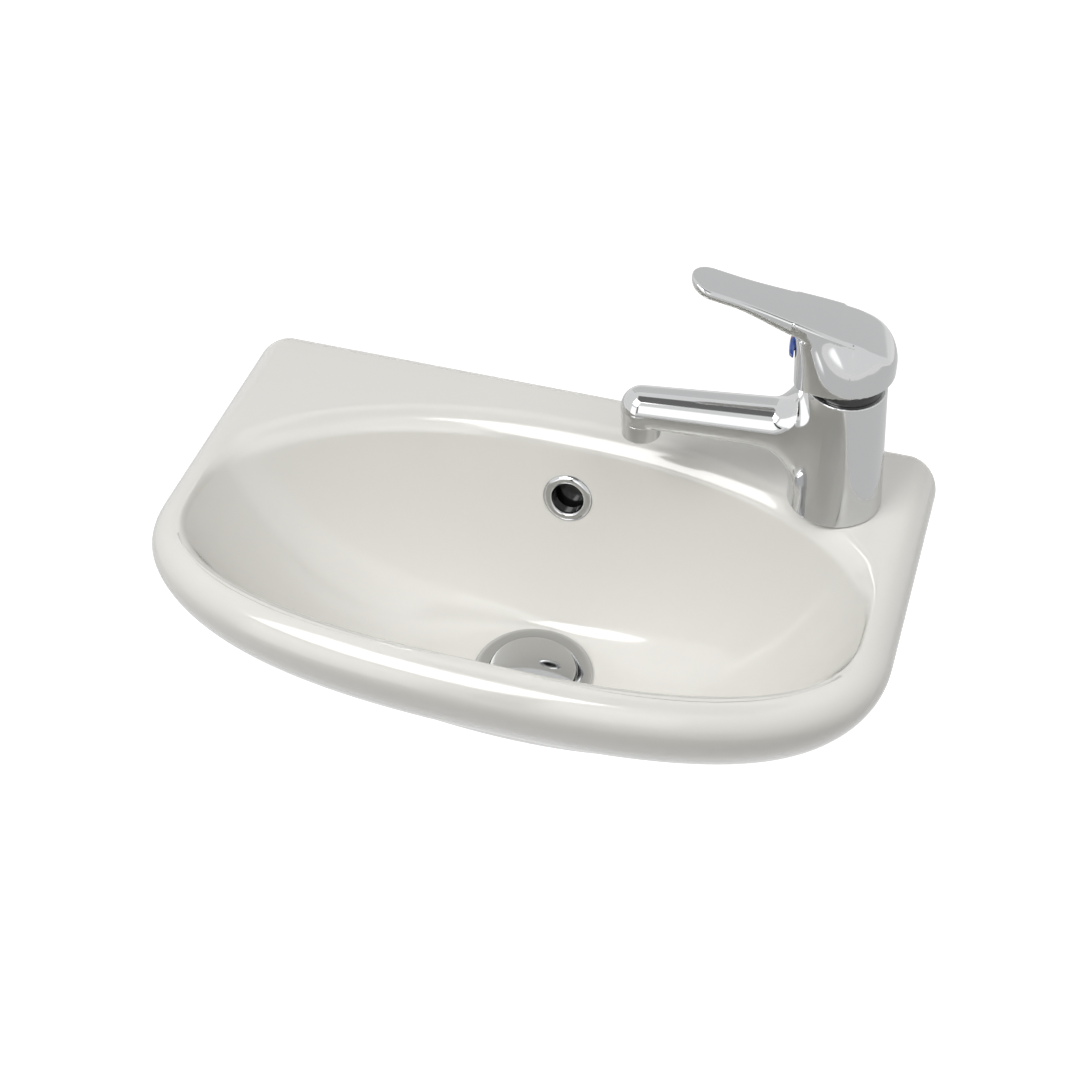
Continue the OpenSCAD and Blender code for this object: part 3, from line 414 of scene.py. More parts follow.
# Local frames: the tap's u runs along the spout, and the overflow's z runs into the bowl's wall
overflow = dict(drop=40, near=5.5, depth=6, wall=5, width=26, sleeve=20.4, ring=29, play=0.15)
tapAt = (0.148, -0.0485, basin["deckZ"] / 1000)
tapMatrix = Matrix.Translation(tapAt) @ Matrix.Rotation(math.radians(188), 4, "Z")
wasteMatrix = Matrix.Translation((0, -basin["wasteY"] / 1000, 0))
backDir = np.array([[0.0, 1.0]])
overflowW = bowlShare(backDir, -overflow["drop"])
overflowP = bowlPoint(backDir, overflowW)[0]
overflowN = bowlNormal(backDir, overflowW)[0]
overflowTilt = math.atan2(overflowN[1], overflowN[2])
overflowMatrix = (Matrix.Translation(Vector(overflowP) * 0.001 + Vector((0, 0, basin["deckZ"] / 1000)))
                  @ Matrix.Rotation(-overflowTilt, 4, "X"))


def onTap(u, v, z):
    return tapMatrix @ Matrix.Translation((u / 1000, v / 1000, z / 1000))


def ductStrip(name, near, far, width, top, foot, steps=25):
    # The channel behind the bowl's back wall, cut or added
    shares = np.linspace(0, top, steps)
    d = np.repeat(backDir, steps, axis=0)
    inner = bowlOffset(d, shares, near)[:, 1:].tolist()
    outer = bowlOffset(d, shares, far)[:, 1:].tolist()
    low = -basin["bowlDepth"]
    line = [(foot, low - near)] + inner + outer[::-1] + [(foot, low - far)]
    verts = [(x, y, z + basin["deckZ"]) for x in (-width / 2, width / 2) for y, z in line]
    n = len(line)
    faces = [tuple(range(n)), tuple(range(2 * n - 1, n - 1, -1))]
    faces += [(k, k + n, (k + 1) % n + n, (k + 1) % n) for k in range(n)]
    return outward(newObject(name, verts, faces))


def makeBasin():
    b, o = basin, overflow
    rings = basinRings()
    rings[:, :, 2] += b["deckZ"]
    rows, columns = rings.shape[:2]
    piece = outward(newObject("basin", rings.reshape(-1, 3), ringFaces(rows, columns)))
    smooth(piece, 180)
    whole = piece.data.copy()
    far = o["near"] + o["depth"]
    top = float(bowlShare(backDir, -o["drop"] + o["sleeve"] / 2 + 2)[0])
    bump = ductStrip("ductBump", o["near"] - 2, far + o["wall"], o["width"] + 2 * o["wall"],
                     min(top + 0.05, 0.96), -b["wasteY"] + b["bossD"] / 2 - 4)
    boolean(piece, [bump], "UNION")
    tools = [ductStrip("ductCut", o["near"], far, o["width"], top, -b["wasteY"] + b["wasteHole"] / 2 - 3),
             cylinder("sleeveCut", o["sleeve"] / 2 + o["play"], -8, (o["near"] + far) / 2, overflowMatrix),
             cylinder("ringCut", o["ring"] / 2 + o["play"], -8, 0, overflowMatrix),
             cylinder("tapCut", b["tapHole"] / 2, -13, 1, Matrix.Translation(tapAt))]
    for side in (-1, 1):
        where = Matrix.Translation((side * b["boltGap"] / 2000, 0, 0))
        tools.append(cylinder("boltCut", b["bolt"] / 2, -3, b["panelT"],
                              where @ Matrix.Rotation(math.pi / 2, 4, "X"), flare=2))
    boolean(piece, tools)
    normalsFrom(piece, whole)
    bpy.data.meshes.remove(whole)
    return piece


# Implicit surfaces: a field is below zero inside, in millimetres
def smoothMax(a, b, k):
    h = np.maximum(k - np.abs(a - b), 0) / k
    return np.maximum(a, b) + h * h * h * k / 6


def smoothMin(a, b, k):
    return -smoothMax(-a, -b, k)


def gradient(field, p, step=0.02):
    out = np.zeros_like(p)
    for axis in range(3):
        move = np.zeros(3)
        move[axis] = step
        out[:, axis] = (field(p + move) - field(p - move)) / (2 * step)
    return out


def settle(field, p, passes=4, most=0.6):
    for _ in range(passes):
        g = gradient(field, p)
        step = field(p)[:, None] * g / np.maximum((g * g).sum(1), 1e-6)[:, None]
        size = np.linalg.norm(step, axis=1)[:, None]
        p = p - step * np.minimum(1, most / np.maximum(size, 1e-9))
    return p


def relax(p, faces, field, passes=4):
    # Evens out the quads along the surface
    pairs = np.concatenate([faces[:, [k, (k + 1) % 4]] for k in range(4)])
    a = np.concatenate([pairs[:, 0], pairs[:, 1]])
    b = np.concatenate([pairs[:, 1], pairs[:, 0]])
    degree = np.bincount(a, minlength=len(p))[:, None]
    for _ in range(passes):
        mean = np.stack([np.bincount(a, weights=p[b, k], minlength=len(p)) for k in range(3)], 1) / degree
        g = gradient(field, p)
        g /= np.linalg.norm(g, axis=1)[:, None]
        move = mean - p
        move -= (move * g).sum(1)[:, None] * g
        p = settle(field, p + 0.5 * move, 1)
    return p


def divide(p, faces):
    edges = np.concatenate([faces[:, [k, (k + 1) % 4]] for k in range(4)])
    keys, back = np.unique(np.sort(edges, axis=1), axis=0, return_inverse=True)
    back = back.reshape(-1)
    n, f = len(p), len(faces)
    middles = (p[keys[:, 0]] + p[keys[:, 1]]) / 2
    centres = p[faces].mean(1)
    out = []
    for k in range(4):
        out.append(np.stack([faces[:, k], n + back[k * f:(k + 1) * f], n + len(keys) + np.arange(f),
                             n + back[((k - 1) % 4) * f:((k - 1) % 4 + 1) * f]], 1))
    return np.concatenate([p, middles, centres]), np.concatenate(out)


def surfaceNet(field, low, high, cell):
    low, high = np.array(low, dtype=float), np.array(high, dtype=float)
    size = np.ceil((high - low) / cell).astype(int) + 1
    grid = np.stack(np.meshgrid(*[low[k] + cell * np.arange(size[k]) for k in range(3)],
                                indexing="ij"), -1)
    value = field(grid.reshape(-1, 3)).reshape(size)
    inside = value < 0
    corners = [(i, j, k) for i in (0, 1) for j in (0, 1) for k in (0, 1)]
    view = lambda data, c: data[c[0]:size[0] - 1 + c[0], c[1]:size[1] - 1 + c[1], c[2]:size[2] - 1 + c[2]]
    total = sum(view(inside, c).astype(int) for c in corners)
    cells = np.argwhere((total > 0) & (total < 8))
    number = -np.ones(size - 1, dtype=int)
    number[tuple(cells.T)] = np.arange(len(cells))
    points, weight = np.zeros((len(cells), 3)), np.zeros(len(cells))
    for a in corners:
        for axis in range(3):
            if a[axis]:
                continue
            b = list(a)
            b[axis] = 1
            va = value[tuple((cells + a).T)]
            vb = value[tuple((cells + b).T)]
            hit = (va < 0) != (vb < 0)
            t = va[hit] / (va[hit] - vb[hit])
            at = cells[hit] + np.array(a) + t[:, None] * (np.array(b) - np.array(a))
            points[hit] += at
            weight[hit] += 1
    points = low + cell * points / weight[:, None]
    faces = []
    for axis in range(3):
        b, c = (axis + 1) % 3, (axis + 2) % 3
        lower = [slice(None)] * 3
        upper = [slice(None)] * 3
        lower[axis], upper[axis] = slice(0, -1), slice(1, None)
        for other in (b, c):
            lower[other] = slice(1, -1)
            upper[other] = slice(1, -1)
        first, second = inside[tuple(lower)], inside[tuple(upper)]
        at = np.argwhere(first != second)
        rising = first[tuple(at.T)]
        at[:, b] += 1
        at[:, c] += 1
        quad = []
        for db, dc in ((0, 0), (-1, 0), (-1, -1), (0, -1)):
            beside = at.copy()
            beside[:, b] += db
            beside[:, c] += dc
            quad.append(number[tuple(beside.T)])
        quad = np.stack(quad, 1)
        quad[~rising] = quad[~rising][:, ::-1]
        faces.append(quad)
    return points, np.concatenate(faces)


def implicit(name, field, low, high, cell, matrix, finer=1):
    points, faces = surfaceNet(field, low, high, cell)
    points = settle(field, points, 4)
    points = relax(points, faces, field, 6)
    for _ in range(finer):
        points, faces = divide(points, faces)
        points = settle(field, points, 3)
    points = relax(points, faces, field, 2)
    piece = newObject(name, points, faces)
    return place(piece, matrix)


# The tap's body: a tapered column and a spout, run together
tap = dict(foot=25.25, top=20.3, topZ=77, gap=0.3, spoutZ=47.5, rise=2.2, reach=104.5, r0=13.5, r1=11.0,
           spoutU=24, neckU=36, neckRun=12, neckRise=15.8, bellyU=46, bellyRun=24, bellyDrop=26,
           flareU=34, neckFlare=6, boreR=6, chamberR=14.5, chamberZ=38,
           collarR=10.9, recessR=10.8, aerZ=42.5, aerFoot=32, mouthR=9.05, mouthTop=49.1, waterR=6.5,
           studU=-11, studR=4, inletU=4.5, inletV=6.5, inletR=4.5, inletTop=14.3,
           portU=3, portV=6, portR=2.5)


def tapRadius(z):
    return mix(tap["foot"], tap["top"], z / tap["topZ"])


def columnField(p):
    u, v, z = p.T
    side = np.hypot(u, v) - tapRadius(z)
    ends = np.maximum(z - tap["topZ"], tap["gap"] - z)
    return smoothMax(side, ends, 1.2)


def spoutField(p):
    t = tap
    u, v, z = p.T
    along = clamp((u - t["spoutU"]) / (t["reach"] - t["spoutU"]))
    r = mix(t["r0"], t["r1"], along)
    mid = mix(t["spoutZ"], t["spoutZ"] + t["rise"], along)
    up = r + t["neckRise"] * clamp((t["neckU"] - u) / t["neckRun"]) ** 1.7
    down = r + t["bellyDrop"] * clamp((t["bellyU"] - u) / t["bellyRun"]) ** 2.4
    wide = r + t["neckFlare"] * clamp((t["flareU"] - u) / t["bellyRun"]) ** 2
    over = z > mid
    h = np.where(over, up, down)
    x, y = np.abs(v) / wide, np.abs(z - mid) / h
    n = np.where(over, 2.0, 2.35)
    shape = (x ** n + y ** n + 1e-9) ** (1 / n)
    section = (shape - 1) * np.minimum(wide, h)
    # The round nose
    past = np.maximum(u - t["reach"], 0) / t["r1"]
    ball = (np.sqrt(x * x + y * y + past * past + 1e-9) - 1) * t["r1"]
    body = np.where(u > t["reach"], ball, section)
    return smoothMax(body, 8 - u, 2)


def mouthField(p):
    # The short collar that the aerator screws into
    u, v, z = p.T
    side = np.hypot(u - tap["reach"], v) - tap["collarR"]
    ends = np.maximum(tap["aerZ"] - z, z - 50)
    return smoothMax(side, ends, 0.8)


def tapField(p):
    body = smoothMin(columnField(p), spoutField(p), 7)
    body = smoothMax(body, p[:, 2] - tap["topZ"], 1.2)
    return smoothMin(body, mouthField(p), 1.5)


def makeTap():
    t = tap
    piece = implicit("tapBody", tapField, (-28, -28, -2), (117, 28, 80), 1.2, tapMatrix)
    tilt = math.atan(t["rise"] / (t["reach"] - t["spoutU"]))
    bore = (onTap(0, 0, t["spoutZ"] - t["spoutU"] * math.tan(tilt))
            @ Matrix.Rotation(math.pi / 2 - tilt, 4, "Y"))
    nose = onTap(t["reach"], 0, 0)
    tools = [cylinder("chamberCut", t["chamberR"], t["chamberZ"], t["topZ"] + 1, tapMatrix),
             cylinder("boreCut", t["boreR"], 8, t["reach"], bore),
             cylinder("recessCut", t["recessR"], t["aerFoot"] - 2, t["aerZ"], nose),
             cylinder("mouthCut", t["mouthR"], t["aerZ"] - 1, t["mouthTop"], nose),
             cylinder("waterCut", t["waterR"], t["aerZ"], t["mouthTop"] + 0.6, nose),
             cylinder("studCut", t["studR"], -1, 12, onTap(t["studU"], 0, 0))]
    for side in (-1, 1):
        inlet = onTap(t["inletU"], side * t["inletV"], 0)
        port = onTap(t["portU"], side * t["portV"] * math.sin(math.radians(60)), 0)
        tools.append(cylinder("inletCut", t["inletR"], -1, t["inletTop"], inlet))
        tools.append(cylinder("portCut", t["portR"], 13, 40, port))
    tools.append(lathe("sealCut", [(18, -1), (23, -1), (23, 1.6), (18, 1.6)], 96, tapMatrix))
    boolean(piece, tools)
    return fieldNormals(piece, tapField, tapMatrix)


def fieldNormals(piece, field, matrix, reach=0.03):
    # Corners that lie on the field's surface take its exact normal
    mesh = piece.data
    smooth(piece, 35)
    n = len(mesh.vertices)
    co = np.zeros(n * 3)
    mesh.vertices.foreach_get("co", co)
    inverse = np.array(matrix.inverted())
    local = (co.reshape(-1, 3) @ inverse[:3, :3].T + inverse[:3, 3]) * 1000
    turn = np.array(matrix)[:3, :3]
    g = gradient(field, local)
    g /= np.maximum(np.linalg.norm(g, axis=1), 1e-9)[:, None]
    good = np.abs(field(local)) < reach
    normals = g @ turn.T
    loops = np.zeros(len(mesh.loops) * 3)
    mesh.corner_normals.foreach_get("vector", loops)
    loops = loops.reshape(-1, 3)
    owner = np.zeros(len(mesh.loops), dtype=np.int32)
    mesh.loops.foreach_get("vertex_index", owner)
    facing = np.zeros(len(mesh.polygons) * 3)
    mesh.polygons.foreach_get("normal", facing)
    facing = facing.reshape(-1, 3)
    sizes = np.zeros(len(mesh.polygons), dtype=np.int32)
    mesh.polygons.foreach_get("loop_total", sizes)
    face = np.repeat(np.arange(len(sizes)), sizes)
    match = good[owner] & ((normals[owner] * facing[face]).sum(1) > 0.86)
    loops[match] = normals[owner[match]]
    mesh.normals_split_custom_set(loops.tolist())
    return piece


# The lever: a hollow head and an arm, cut from crossing surfaces with rounded edges
lever = dict(headR=23.1, noseU=27.5, lean=1.5, top=114, slope=0.285, tipU=82, headW=16.2, armW=10.8,
             rootT=9, tipT=5.4, skirtZ=85.5, skirtSlope=0.12, noseFoot=3, drop=15.5,
             hollowR=19.5, hollowTop=91, square=8.1, squareTop=103.4, screwR=2.55, screwZ=98.5)


def leverTop(u):
    t = lever
    fall = t["drop"] * (1 - np.sqrt(1 - clamp(-u / (t["headR"] + 1)) ** 2 + 1e-6))
    return t["top"] + t["slope"] * u - fall


def topWidth(u):
    t = lever
    return mix(t["headW"], t["armW"], soft(u / 62))


def skirtWidth(u):
    t = lever
    return t["headR"] * np.sqrt(1 - clamp(u / (t["noseU"] * 1.03)) ** 2.3 + 1e-3)


def crown(u, v):
    w = topWidth(u)
    return 0.8 * (1 - clamp(np.abs(v) / w) ** 2)


def headField(p):
    t = lever
    u, v, z = p.T
    forward = np.maximum(u, 0)
    ze = leverTop(forward) - 2
    zb = t["skirtZ"] - t["skirtSlope"] * u - t["noseFoot"] * soft((u - 16) / 11)
    s = clamp((ze - z) / (ze - zb))
    g = 1 - (1 - s) ** 2
    wt, wb = topWidth(forward), skirtWidth(forward)
    w = mix(wt, wb, g)
    side = (np.abs(v) - w) * 0.97
    w0 = mix(topWidth(0), t["headR"], 1 - (1 - s) ** 2)
    n = 2.15
    shape = ((np.abs(v) / w0) ** n + (np.maximum(-u, 0) / t["headR"]) ** n + 1e-9) ** (1 / n)
    back = (shape - 1) * w0
    flank = np.where(u > 0, side, back)
    top = (z - leverTop(u) - crown(u, v)) * 0.9
    under = zb - z
    nose = u - t["noseU"] - t["lean"] * (z - 81) / 30
    body = smoothMax(flank, nose, 2.4)
    body = smoothMax(body, top, 3.2)
    return smoothMax(body, under, 0.9)


def armField(p):
    t = lever
    u, v, z = p.T
    thick = mix(t["rootT"], t["tipT"], soft((u - t["noseU"]) / 34))
    top = (z - leverTop(u) - crown(u, v)) * 0.93
    under = (leverTop(u) - thick - z) * 0.93
    w = topWidth(u)
    end = np.maximum(u - (t["tipU"] - t["armW"]), 0)
    side = np.hypot(np.abs(v) * t["armW"] / w * np.where(end > 0, w / t["armW"], 1), end) - t["armW"]
    side = np.where(end > 0, side, np.abs(v) - w)
    body = smoothMax(side, under, 4.5)
    body = smoothMax(body, top, 2.6)
    return smoothMax(body, 6 - u, 1)


def leverField(p):
    return smoothMin(headField(p), armField(p), 2.5)


def makeLever():
    t = lever
    piece = implicit("leverShell", leverField, (-27, -27, 75), (87, 27, 143), 1.2, tapMatrix)
    foot, top = t["hollowTop"] - 1, t["squareTop"]
    screw = onTap(0, 0, t["screwZ"]) @ Matrix.Rotation(math.pi / 2, 4, "Y")
    square = block("squareCut", (t["square"], t["square"], top - foot), onTap(0, 0, (top + foot) / 2))
    boolean(piece, [cylinder("hollowCut", t["hollowR"], 60, t["hollowTop"], tapMatrix), square,
                    cylinder("screwCut", t["screwR"], 0, 40, screw)])
    return fieldNormals(piece, leverField, tapMatrix)


# Turned pieces, with heights above the deck's plane for the tap and above the origin for the waste
waste = dict(flange=-38.5, rim=-36.3, gasket=-37.9, foot=-76.5, nut=-67.5, nutH=6, web=-64.5,
             flangeR=34, throatR=17.5, tailR=19.75, upperR=20.95, seatR=25, webR=11, webH=4,
             hubR=7.15, rib=(36, 3, 4), slot=(14, 52, 5), nutFlats=52, nutBore=21, nutTurn=18)
cap = dict(r=24.5, dome=2.4, edge=1.8, hubR=6.35, hubFoot=-4.1)
shroud = dict(r=18, boreR=15.2, foot=77, edge=80.5, shoulderR=17.2, shoulder=82.5, crestR=16, crest=83.5)
aerator = dict(r=10.5, boreR=7.3, ringH=10.4, neckR=9, height=15.5)


def makeRing():
    # The overflow's trim: a soft outer roll, a flat land and a rounded mouth
    profile = [(9, 7), (9, -0.4), (9.9, -1.5), (12.0, -1.8), (13.6, -1.1), (14.5, 0), (10.2, 0), (10.2, 7)]
    profile = rounded(profile, {1: 1, 2: 1, 3: 1.4, 4: 1, 5: 0.3})
    return smooth(lathe("overflowTrim", profile, 160, overflowMatrix), 32)


def makeCap(steps=24):
    r, hubR, hubFoot = cap["r"], cap["hubR"], cap["hubFoot"]
    domeR = (r * r + cap["dome"] * cap["dome"]) / (2 * cap["dome"])
    half = math.asin(r / domeR)
    turns = [half * (1 - k / steps) for k in range(2, steps + 1)]
    top = [(domeR * math.sin(t), cap["edge"] + domeR * math.cos(t) - domeR * math.cos(half)) for t in turns]
    profile = [(0, hubFoot), (hubR, hubFoot), (hubR, 0), (r, 0), (r, cap["edge"])] + top
    where = wasteMatrix @ Matrix.Translation((0, 0, waste["rim"] / 1000))
    return smooth(lathe("clickCap", rounded(profile, {3: 0.6, 4: 1.1}), 160, where, closed=False), 32)


def makeFlange():
    # The waste's flange with its throat; the tail below it is cut away where its slots are
    z = waste
    low, high, seat = z["flange"], z["rim"], z["gasket"]
    tailR, upperR, flangeR, seatR = z["tailR"], z["upperR"], z["flangeR"], z["seatR"]
    profile = [(z["throatR"], z["foot"]), (tailR, z["foot"]), (tailR, z["nut"]), (upperR, z["nut"]),
               (upperR, low), (flangeR, low), (flangeR, low + 0.8), (31.7, high - 0.15), (29, high),
               (seatR, high), (seatR, seat), (20.0, seat), (z["throatR"], seat - 6)]
    profile = rounded(profile, {1: 0.8, 5: 0.3, 6: 0.9, 7: 1.4, 8: 1.4, 9: 0.5, 11: 1.2, 12: 1.5})
    body = lathe("wasteFlange", profile, 160, wasteMatrix)
    web = cylinder("web", z["webR"], z["web"], z["web"] + z["webH"], wasteMatrix, segments=64)
    ribs = []
    for turn in (0, 60, 120):
        middle = wasteMatrix @ Matrix.Translation((0, 0, (z["web"] + z["webH"] / 2) / 1000))
        ribs.append(block("rib", z["rib"], middle @ Matrix.Rotation(math.radians(turn), 4, "Z")))
    boolean(body, [web] + ribs, "UNION")
    # The slots lie at the height of the overflow's channel
    slotZ = basin["deckZ"] - basin["bowlDepth"] - overflow["near"] - overflow["depth"] / 2
    slots = [block("slot", z["slot"], wasteMatrix @ Matrix.Translation((0, 0, slotZ / 1000))
                   @ Matrix.Rotation(turn, 4, "Z")) for turn in (0, math.pi / 2)]
    hub = cylinder("hub", z["hubR"], z["web"] - 1, z["web"] + z["webH"] + 1, wasteMatrix, segments=64)
    boolean(body, [hub] + slots)
    return smooth(body, 32)


def block(name, size, matrix):
    x, y, z = (s / 2 for s in size)
    verts = [(i, j, k) for i in (-x, x) for j in (-y, y) for k in (-z, z)]
    faces = [(0, 1, 3, 2), (4, 6, 7, 5), (0, 4, 5, 1), (2, 3, 7, 6), (0, 2, 6, 4), (1, 5, 7, 3)]
    return place(outward(newObject(name, verts, faces)), matrix)


def makeShroud():
    s = shroud
    profile = [(s["boreR"], s["foot"]), (s["r"], s["foot"]), (s["r"], s["edge"]),
               (s["shoulderR"], s["shoulder"]), (s["crestR"], s["crest"]), (s["boreR"], s["crest"] - 0.5)]
    return smooth(lathe("shroudCover", rounded(profile, {2: 1, 3: 1, 4: 0.5, 5: 0.3}), 128, tapMatrix), 32)


def makeAerator():
    a = aerator
    profile = [(a["boreR"], 0), (a["r"], 0), (a["r"], a["ringH"]), (a["neckR"], a["ringH"]),
               (a["neckR"], a["height"]), (a["boreR"], a["height"])]
    profile = rounded(profile, {0: 0.5, 1: 0.7, 2: 0.3, 5: 0.4})
    return smooth(lathe("aeratorRing", profile, 128, onTap(tap["reach"], 0, tap["aerFoot"])), 32)


def hexNut(name, flats, bore, low, high, matrix, turn=0):
    # A hexagon whose corners are turned off at both ends
    across = flats / 2 / math.cos(math.pi / 6)
    verts = [(across * math.cos(math.pi / 3 * k + turn), across * math.sin(math.pi / 3 * k + turn), z)
             for z in (low, high) for k in range(6)]
    faces = [(5, 4, 3, 2, 1, 0), (6, 7, 8, 9, 10, 11)]
    faces += [(k, (k + 1) % 6, (k + 1) % 6 + 6, k + 6) for k in range(6)]
    nut = outward(newObject(name, verts, faces))
    edge = across - flats / 2
    inner, outer, drop = flats / 2 - 0.4, across + 0.1, edge * 0.62
    turned = [(0, low - 0.01), (inner, low - 0.01), (outer, low + drop), (outer, high - drop),
              (inner, high + 0.01), (0, high + 0.01)]
    boolean(nut, [lathe("turned", turned, 96, closed=False)], "INTERSECT")
    mouth = bore + 1.2
    hole = [(0, low - 1), (mouth, low - 1), (mouth, low), (bore, low + 1), (bore, high - 1), (mouth, high),
            (mouth, high + 1), (0, high + 1)]
    boolean(nut, [lathe("bore", hole, 64, closed=False)])
    place(nut, matrix)
    return smooth(nut, 25)


# Materials, each from object coordinates in metres
def shader(name, colour, roughness, metallic=0.0, coat=0.0, ior=1.5, vary=0.03, varyScale=20.0,
           rough=0.03, roughScale=60.0, bump=0.0, bumpScale=400.0, stretch=(1, 1, 1)):
    mat = bpy.data.materials.new(name)
    mat.use_nodes = True
    n, link = mat.node_tree.nodes, mat.node_tree.links.new
    base = n["Principled BSDF"]
    base.inputs["Metallic"].default_value = metallic
    base.inputs["IOR"].default_value = ior
    base.inputs["Coat Weight"].default_value = coat
    base.inputs["Coat Roughness"].default_value = 0.03
    coords, turn = n.new("ShaderNodeTexCoord"), n.new("ShaderNodeMapping")
    turn.inputs["Scale"].default_value = stretch
    link(coords.outputs["Object"], turn.inputs["Vector"])
    wide = n.new("ShaderNodeTexNoise")
    wide.inputs["Scale"].default_value = varyScale
    wide.inputs["Detail"].default_value = 3
    link(turn.outputs["Vector"], wide.inputs["Vector"])
    ramp = n.new("ShaderNodeMix")
    ramp.data_type = "RGBA"
    ramp.inputs["A"].default_value = (*[max(0, c * (1 - vary)) for c in colour], 1)
    ramp.inputs["B"].default_value = (*[min(1, c * (1 + vary)) for c in colour], 1)
    link(wide.outputs["Fac"], ramp.inputs["Factor"])
    link(ramp.outputs["Result"], base.inputs["Base Color"])
    fine = n.new("ShaderNodeTexNoise")
    fine.inputs["Scale"].default_value = roughScale
    fine.inputs["Detail"].default_value = 4
    link(turn.outputs["Vector"], fine.inputs["Vector"])
    spread = n.new("ShaderNodeMapRange")
    spread.inputs["To Min"].default_value = max(0.0, roughness - rough)
    spread.inputs["To Max"].default_value = roughness + rough
    link(fine.outputs["Fac"], spread.inputs["Value"])
    link(spread.outputs["Result"], base.inputs["Roughness"])
    if bump:
        grain = n.new("ShaderNodeTexNoise")
        grain.inputs["Scale"].default_value = bumpScale
        grain.inputs["Detail"].default_value = 2
        link(turn.outputs["Vector"], grain.inputs["Vector"])
        raised = n.new("ShaderNodeBump")
        raised.inputs["Strength"].default_value = bump
        raised.inputs["Distance"].default_value = 0.0005
        link(grain.outputs["Fac"], raised.inputs["Height"])
        link(raised.outputs["Normal"], base.inputs["Normal"])
    return mat


def calc(tree, operation, *values):
    # A maths node from sockets and plain numbers
    node = tree.nodes.new("ShaderNodeMath")
    node.operation = operation
    for socket, value in zip(node.inputs, values):
        if isinstance(value, bpy.types.NodeSocket):
            tree.links.new(value, socket)
        else:
            socket.default_value = value
    return node.outputs["Value"]


def localAxes(tree, matrix):
    # The object coordinates as X, Y and Z of a local frame, in metres
    turn, parts = tree.nodes.new("ShaderNodeMapping"), tree.nodes.new("ShaderNodeSeparateXYZ")
    inverse = matrix.inverted()
    turn.inputs["Location"].default_value = inverse.translation
    turn.inputs["Rotation"].default_value = inverse.to_euler()
    tree.links.new(tree.nodes.new("ShaderNodeTexCoord").outputs["Object"], turn.inputs["Vector"])
    tree.links.new(turn.outputs["Vector"], parts.inputs["Vector"])
    return parts.outputs


def buttonMaterial():
    # Blue for cold on the front half and red for hot on the other
    mat = shader("temperatureEnamel", (0.5, 0.5, 0.5), 0.18, coat=0.6, vary=0)
    tree = mat.node_tree
    pick = tree.nodes.new("ShaderNodeMix")
    pick.data_type = "RGBA"
    pick.inputs["A"].default_value = (0.45, 0.02, 0.02, 1)
    pick.inputs["B"].default_value = (0.02, 0.08, 0.42, 1)
    tree.links.new(calc(tree, "GREATER_THAN", localAxes(tree, tapMatrix)["Y"], 0), pick.inputs["Factor"])
    tree.links.new(pick.outputs["Result"], tree.nodes["Principled BSDF"].inputs["Base Color"])
    return mat


def paintChannelShade(mat):
    # Painted shade: the inside of the overflow's channel is painted near black for the shade in it, and its
    # glaze is taken off
    tree = mat.node_tree
    axes = localAxes(tree, overflowMatrix)
    inside = 1.0
    for axis, low, high in (("X", -0.0135, 0.0135), ("Y", -0.03, 0.022), ("Z", 0.0045, 0.0135)):
        inside = calc(tree, "MULTIPLY", inside, calc(tree, "GREATER_THAN", axes[axis], low))
        inside = calc(tree, "MULTIPLY", inside, calc(tree, "LESS_THAN", axes[axis], high))
    base = tree.nodes["Principled BSDF"]
    channelShade = tree.nodes.new("ShaderNodeMix")
    channelShade.data_type = "RGBA"
    # painted shade: near black inside the channel
    channelShade.inputs["B"].default_value = (0.012, 0.012, 0.012, 1)
    tree.links.new(inside, channelShade.inputs["Factor"])
    tree.links.new(base.inputs["Base Color"].links[0].from_socket, channelShade.inputs["A"])
    tree.links.new(channelShade.outputs["Result"], base.inputs["Base Color"])
    tree.links.new(calc(tree, "SUBTRACT", 1, inside), base.inputs["Coat Weight"])
    return mat


def makeMaterials():
    return dict(
        ceramic=paintChannelShade(shader("glazedCeramic", (0.845, 0.832, 0.79), 0.16, coat=1.0, vary=0.008,
                                   varyScale=9, rough=0.03, roughScale=30, bump=0.03, bumpScale=45)),
        chrome=shader("polishedChrome", (0.60, 0.605, 0.61), 0.07, metallic=1.0, vary=0.01, varyScale=30,
                      rough=0.015, roughScale=90),
        brass=shader("turnedBrass", (0.62, 0.43, 0.17), 0.3, metallic=1.0, vary=0.08, varyScale=120,
                     rough=0.08, roughScale=300, bump=0.1, bumpScale=900, stretch=(1, 1, 6)),
        steel=shader("drawnSteel", (0.46, 0.46, 0.47), 0.34, metallic=1.0, vary=0.06, varyScale=150,
                     rough=0.08, roughScale=400, bump=0.08, bumpScale=1200, stretch=(1, 1, 5)),
        rubber=shader("sealRubber", (0.022, 0.022, 0.024), 0.62, vary=0.15, varyScale=200, rough=0.08,
                      roughScale=300, bump=0.15, bumpScale=1500),
        nylon=shader("mouldedNylon", (0.72, 0.71, 0.67), 0.42, vary=0.03, varyScale=80, rough=0.06,
                     roughScale=200, bump=0.06, bumpScale=900),
        alumina=shader("groundAlumina", (0.86, 0.84, 0.79), 0.2, vary=0.02, varyScale=100, rough=0.05,
                       roughScale=250, bump=0.02, bumpScale=900),
        button=buttonMaterial(),
        # Painted shade: the shroud ring under the lever is painted near black for the shade in the gap
        # between lever and body
        shroudShade=shader("shroudPaintedShade", (0.03, 0.03, 0.031), 0.22, coat=0.3, vary=0.05, varyScale=60, rough=0.05,
                    roughScale=200))


def dress(piece, material):
    piece.data.materials.clear()
    piece.data.materials.append(material)
    return piece


# Surroundings: a pale floor, a white backdrop, soft boxes and panels that the reflections show
studio = dict(lit=0.25, seen=1.0, floorGlow=0.8, floorZ=-775, floorHalf=9000)
lookAt = (0.1, -0.084, 0.1)


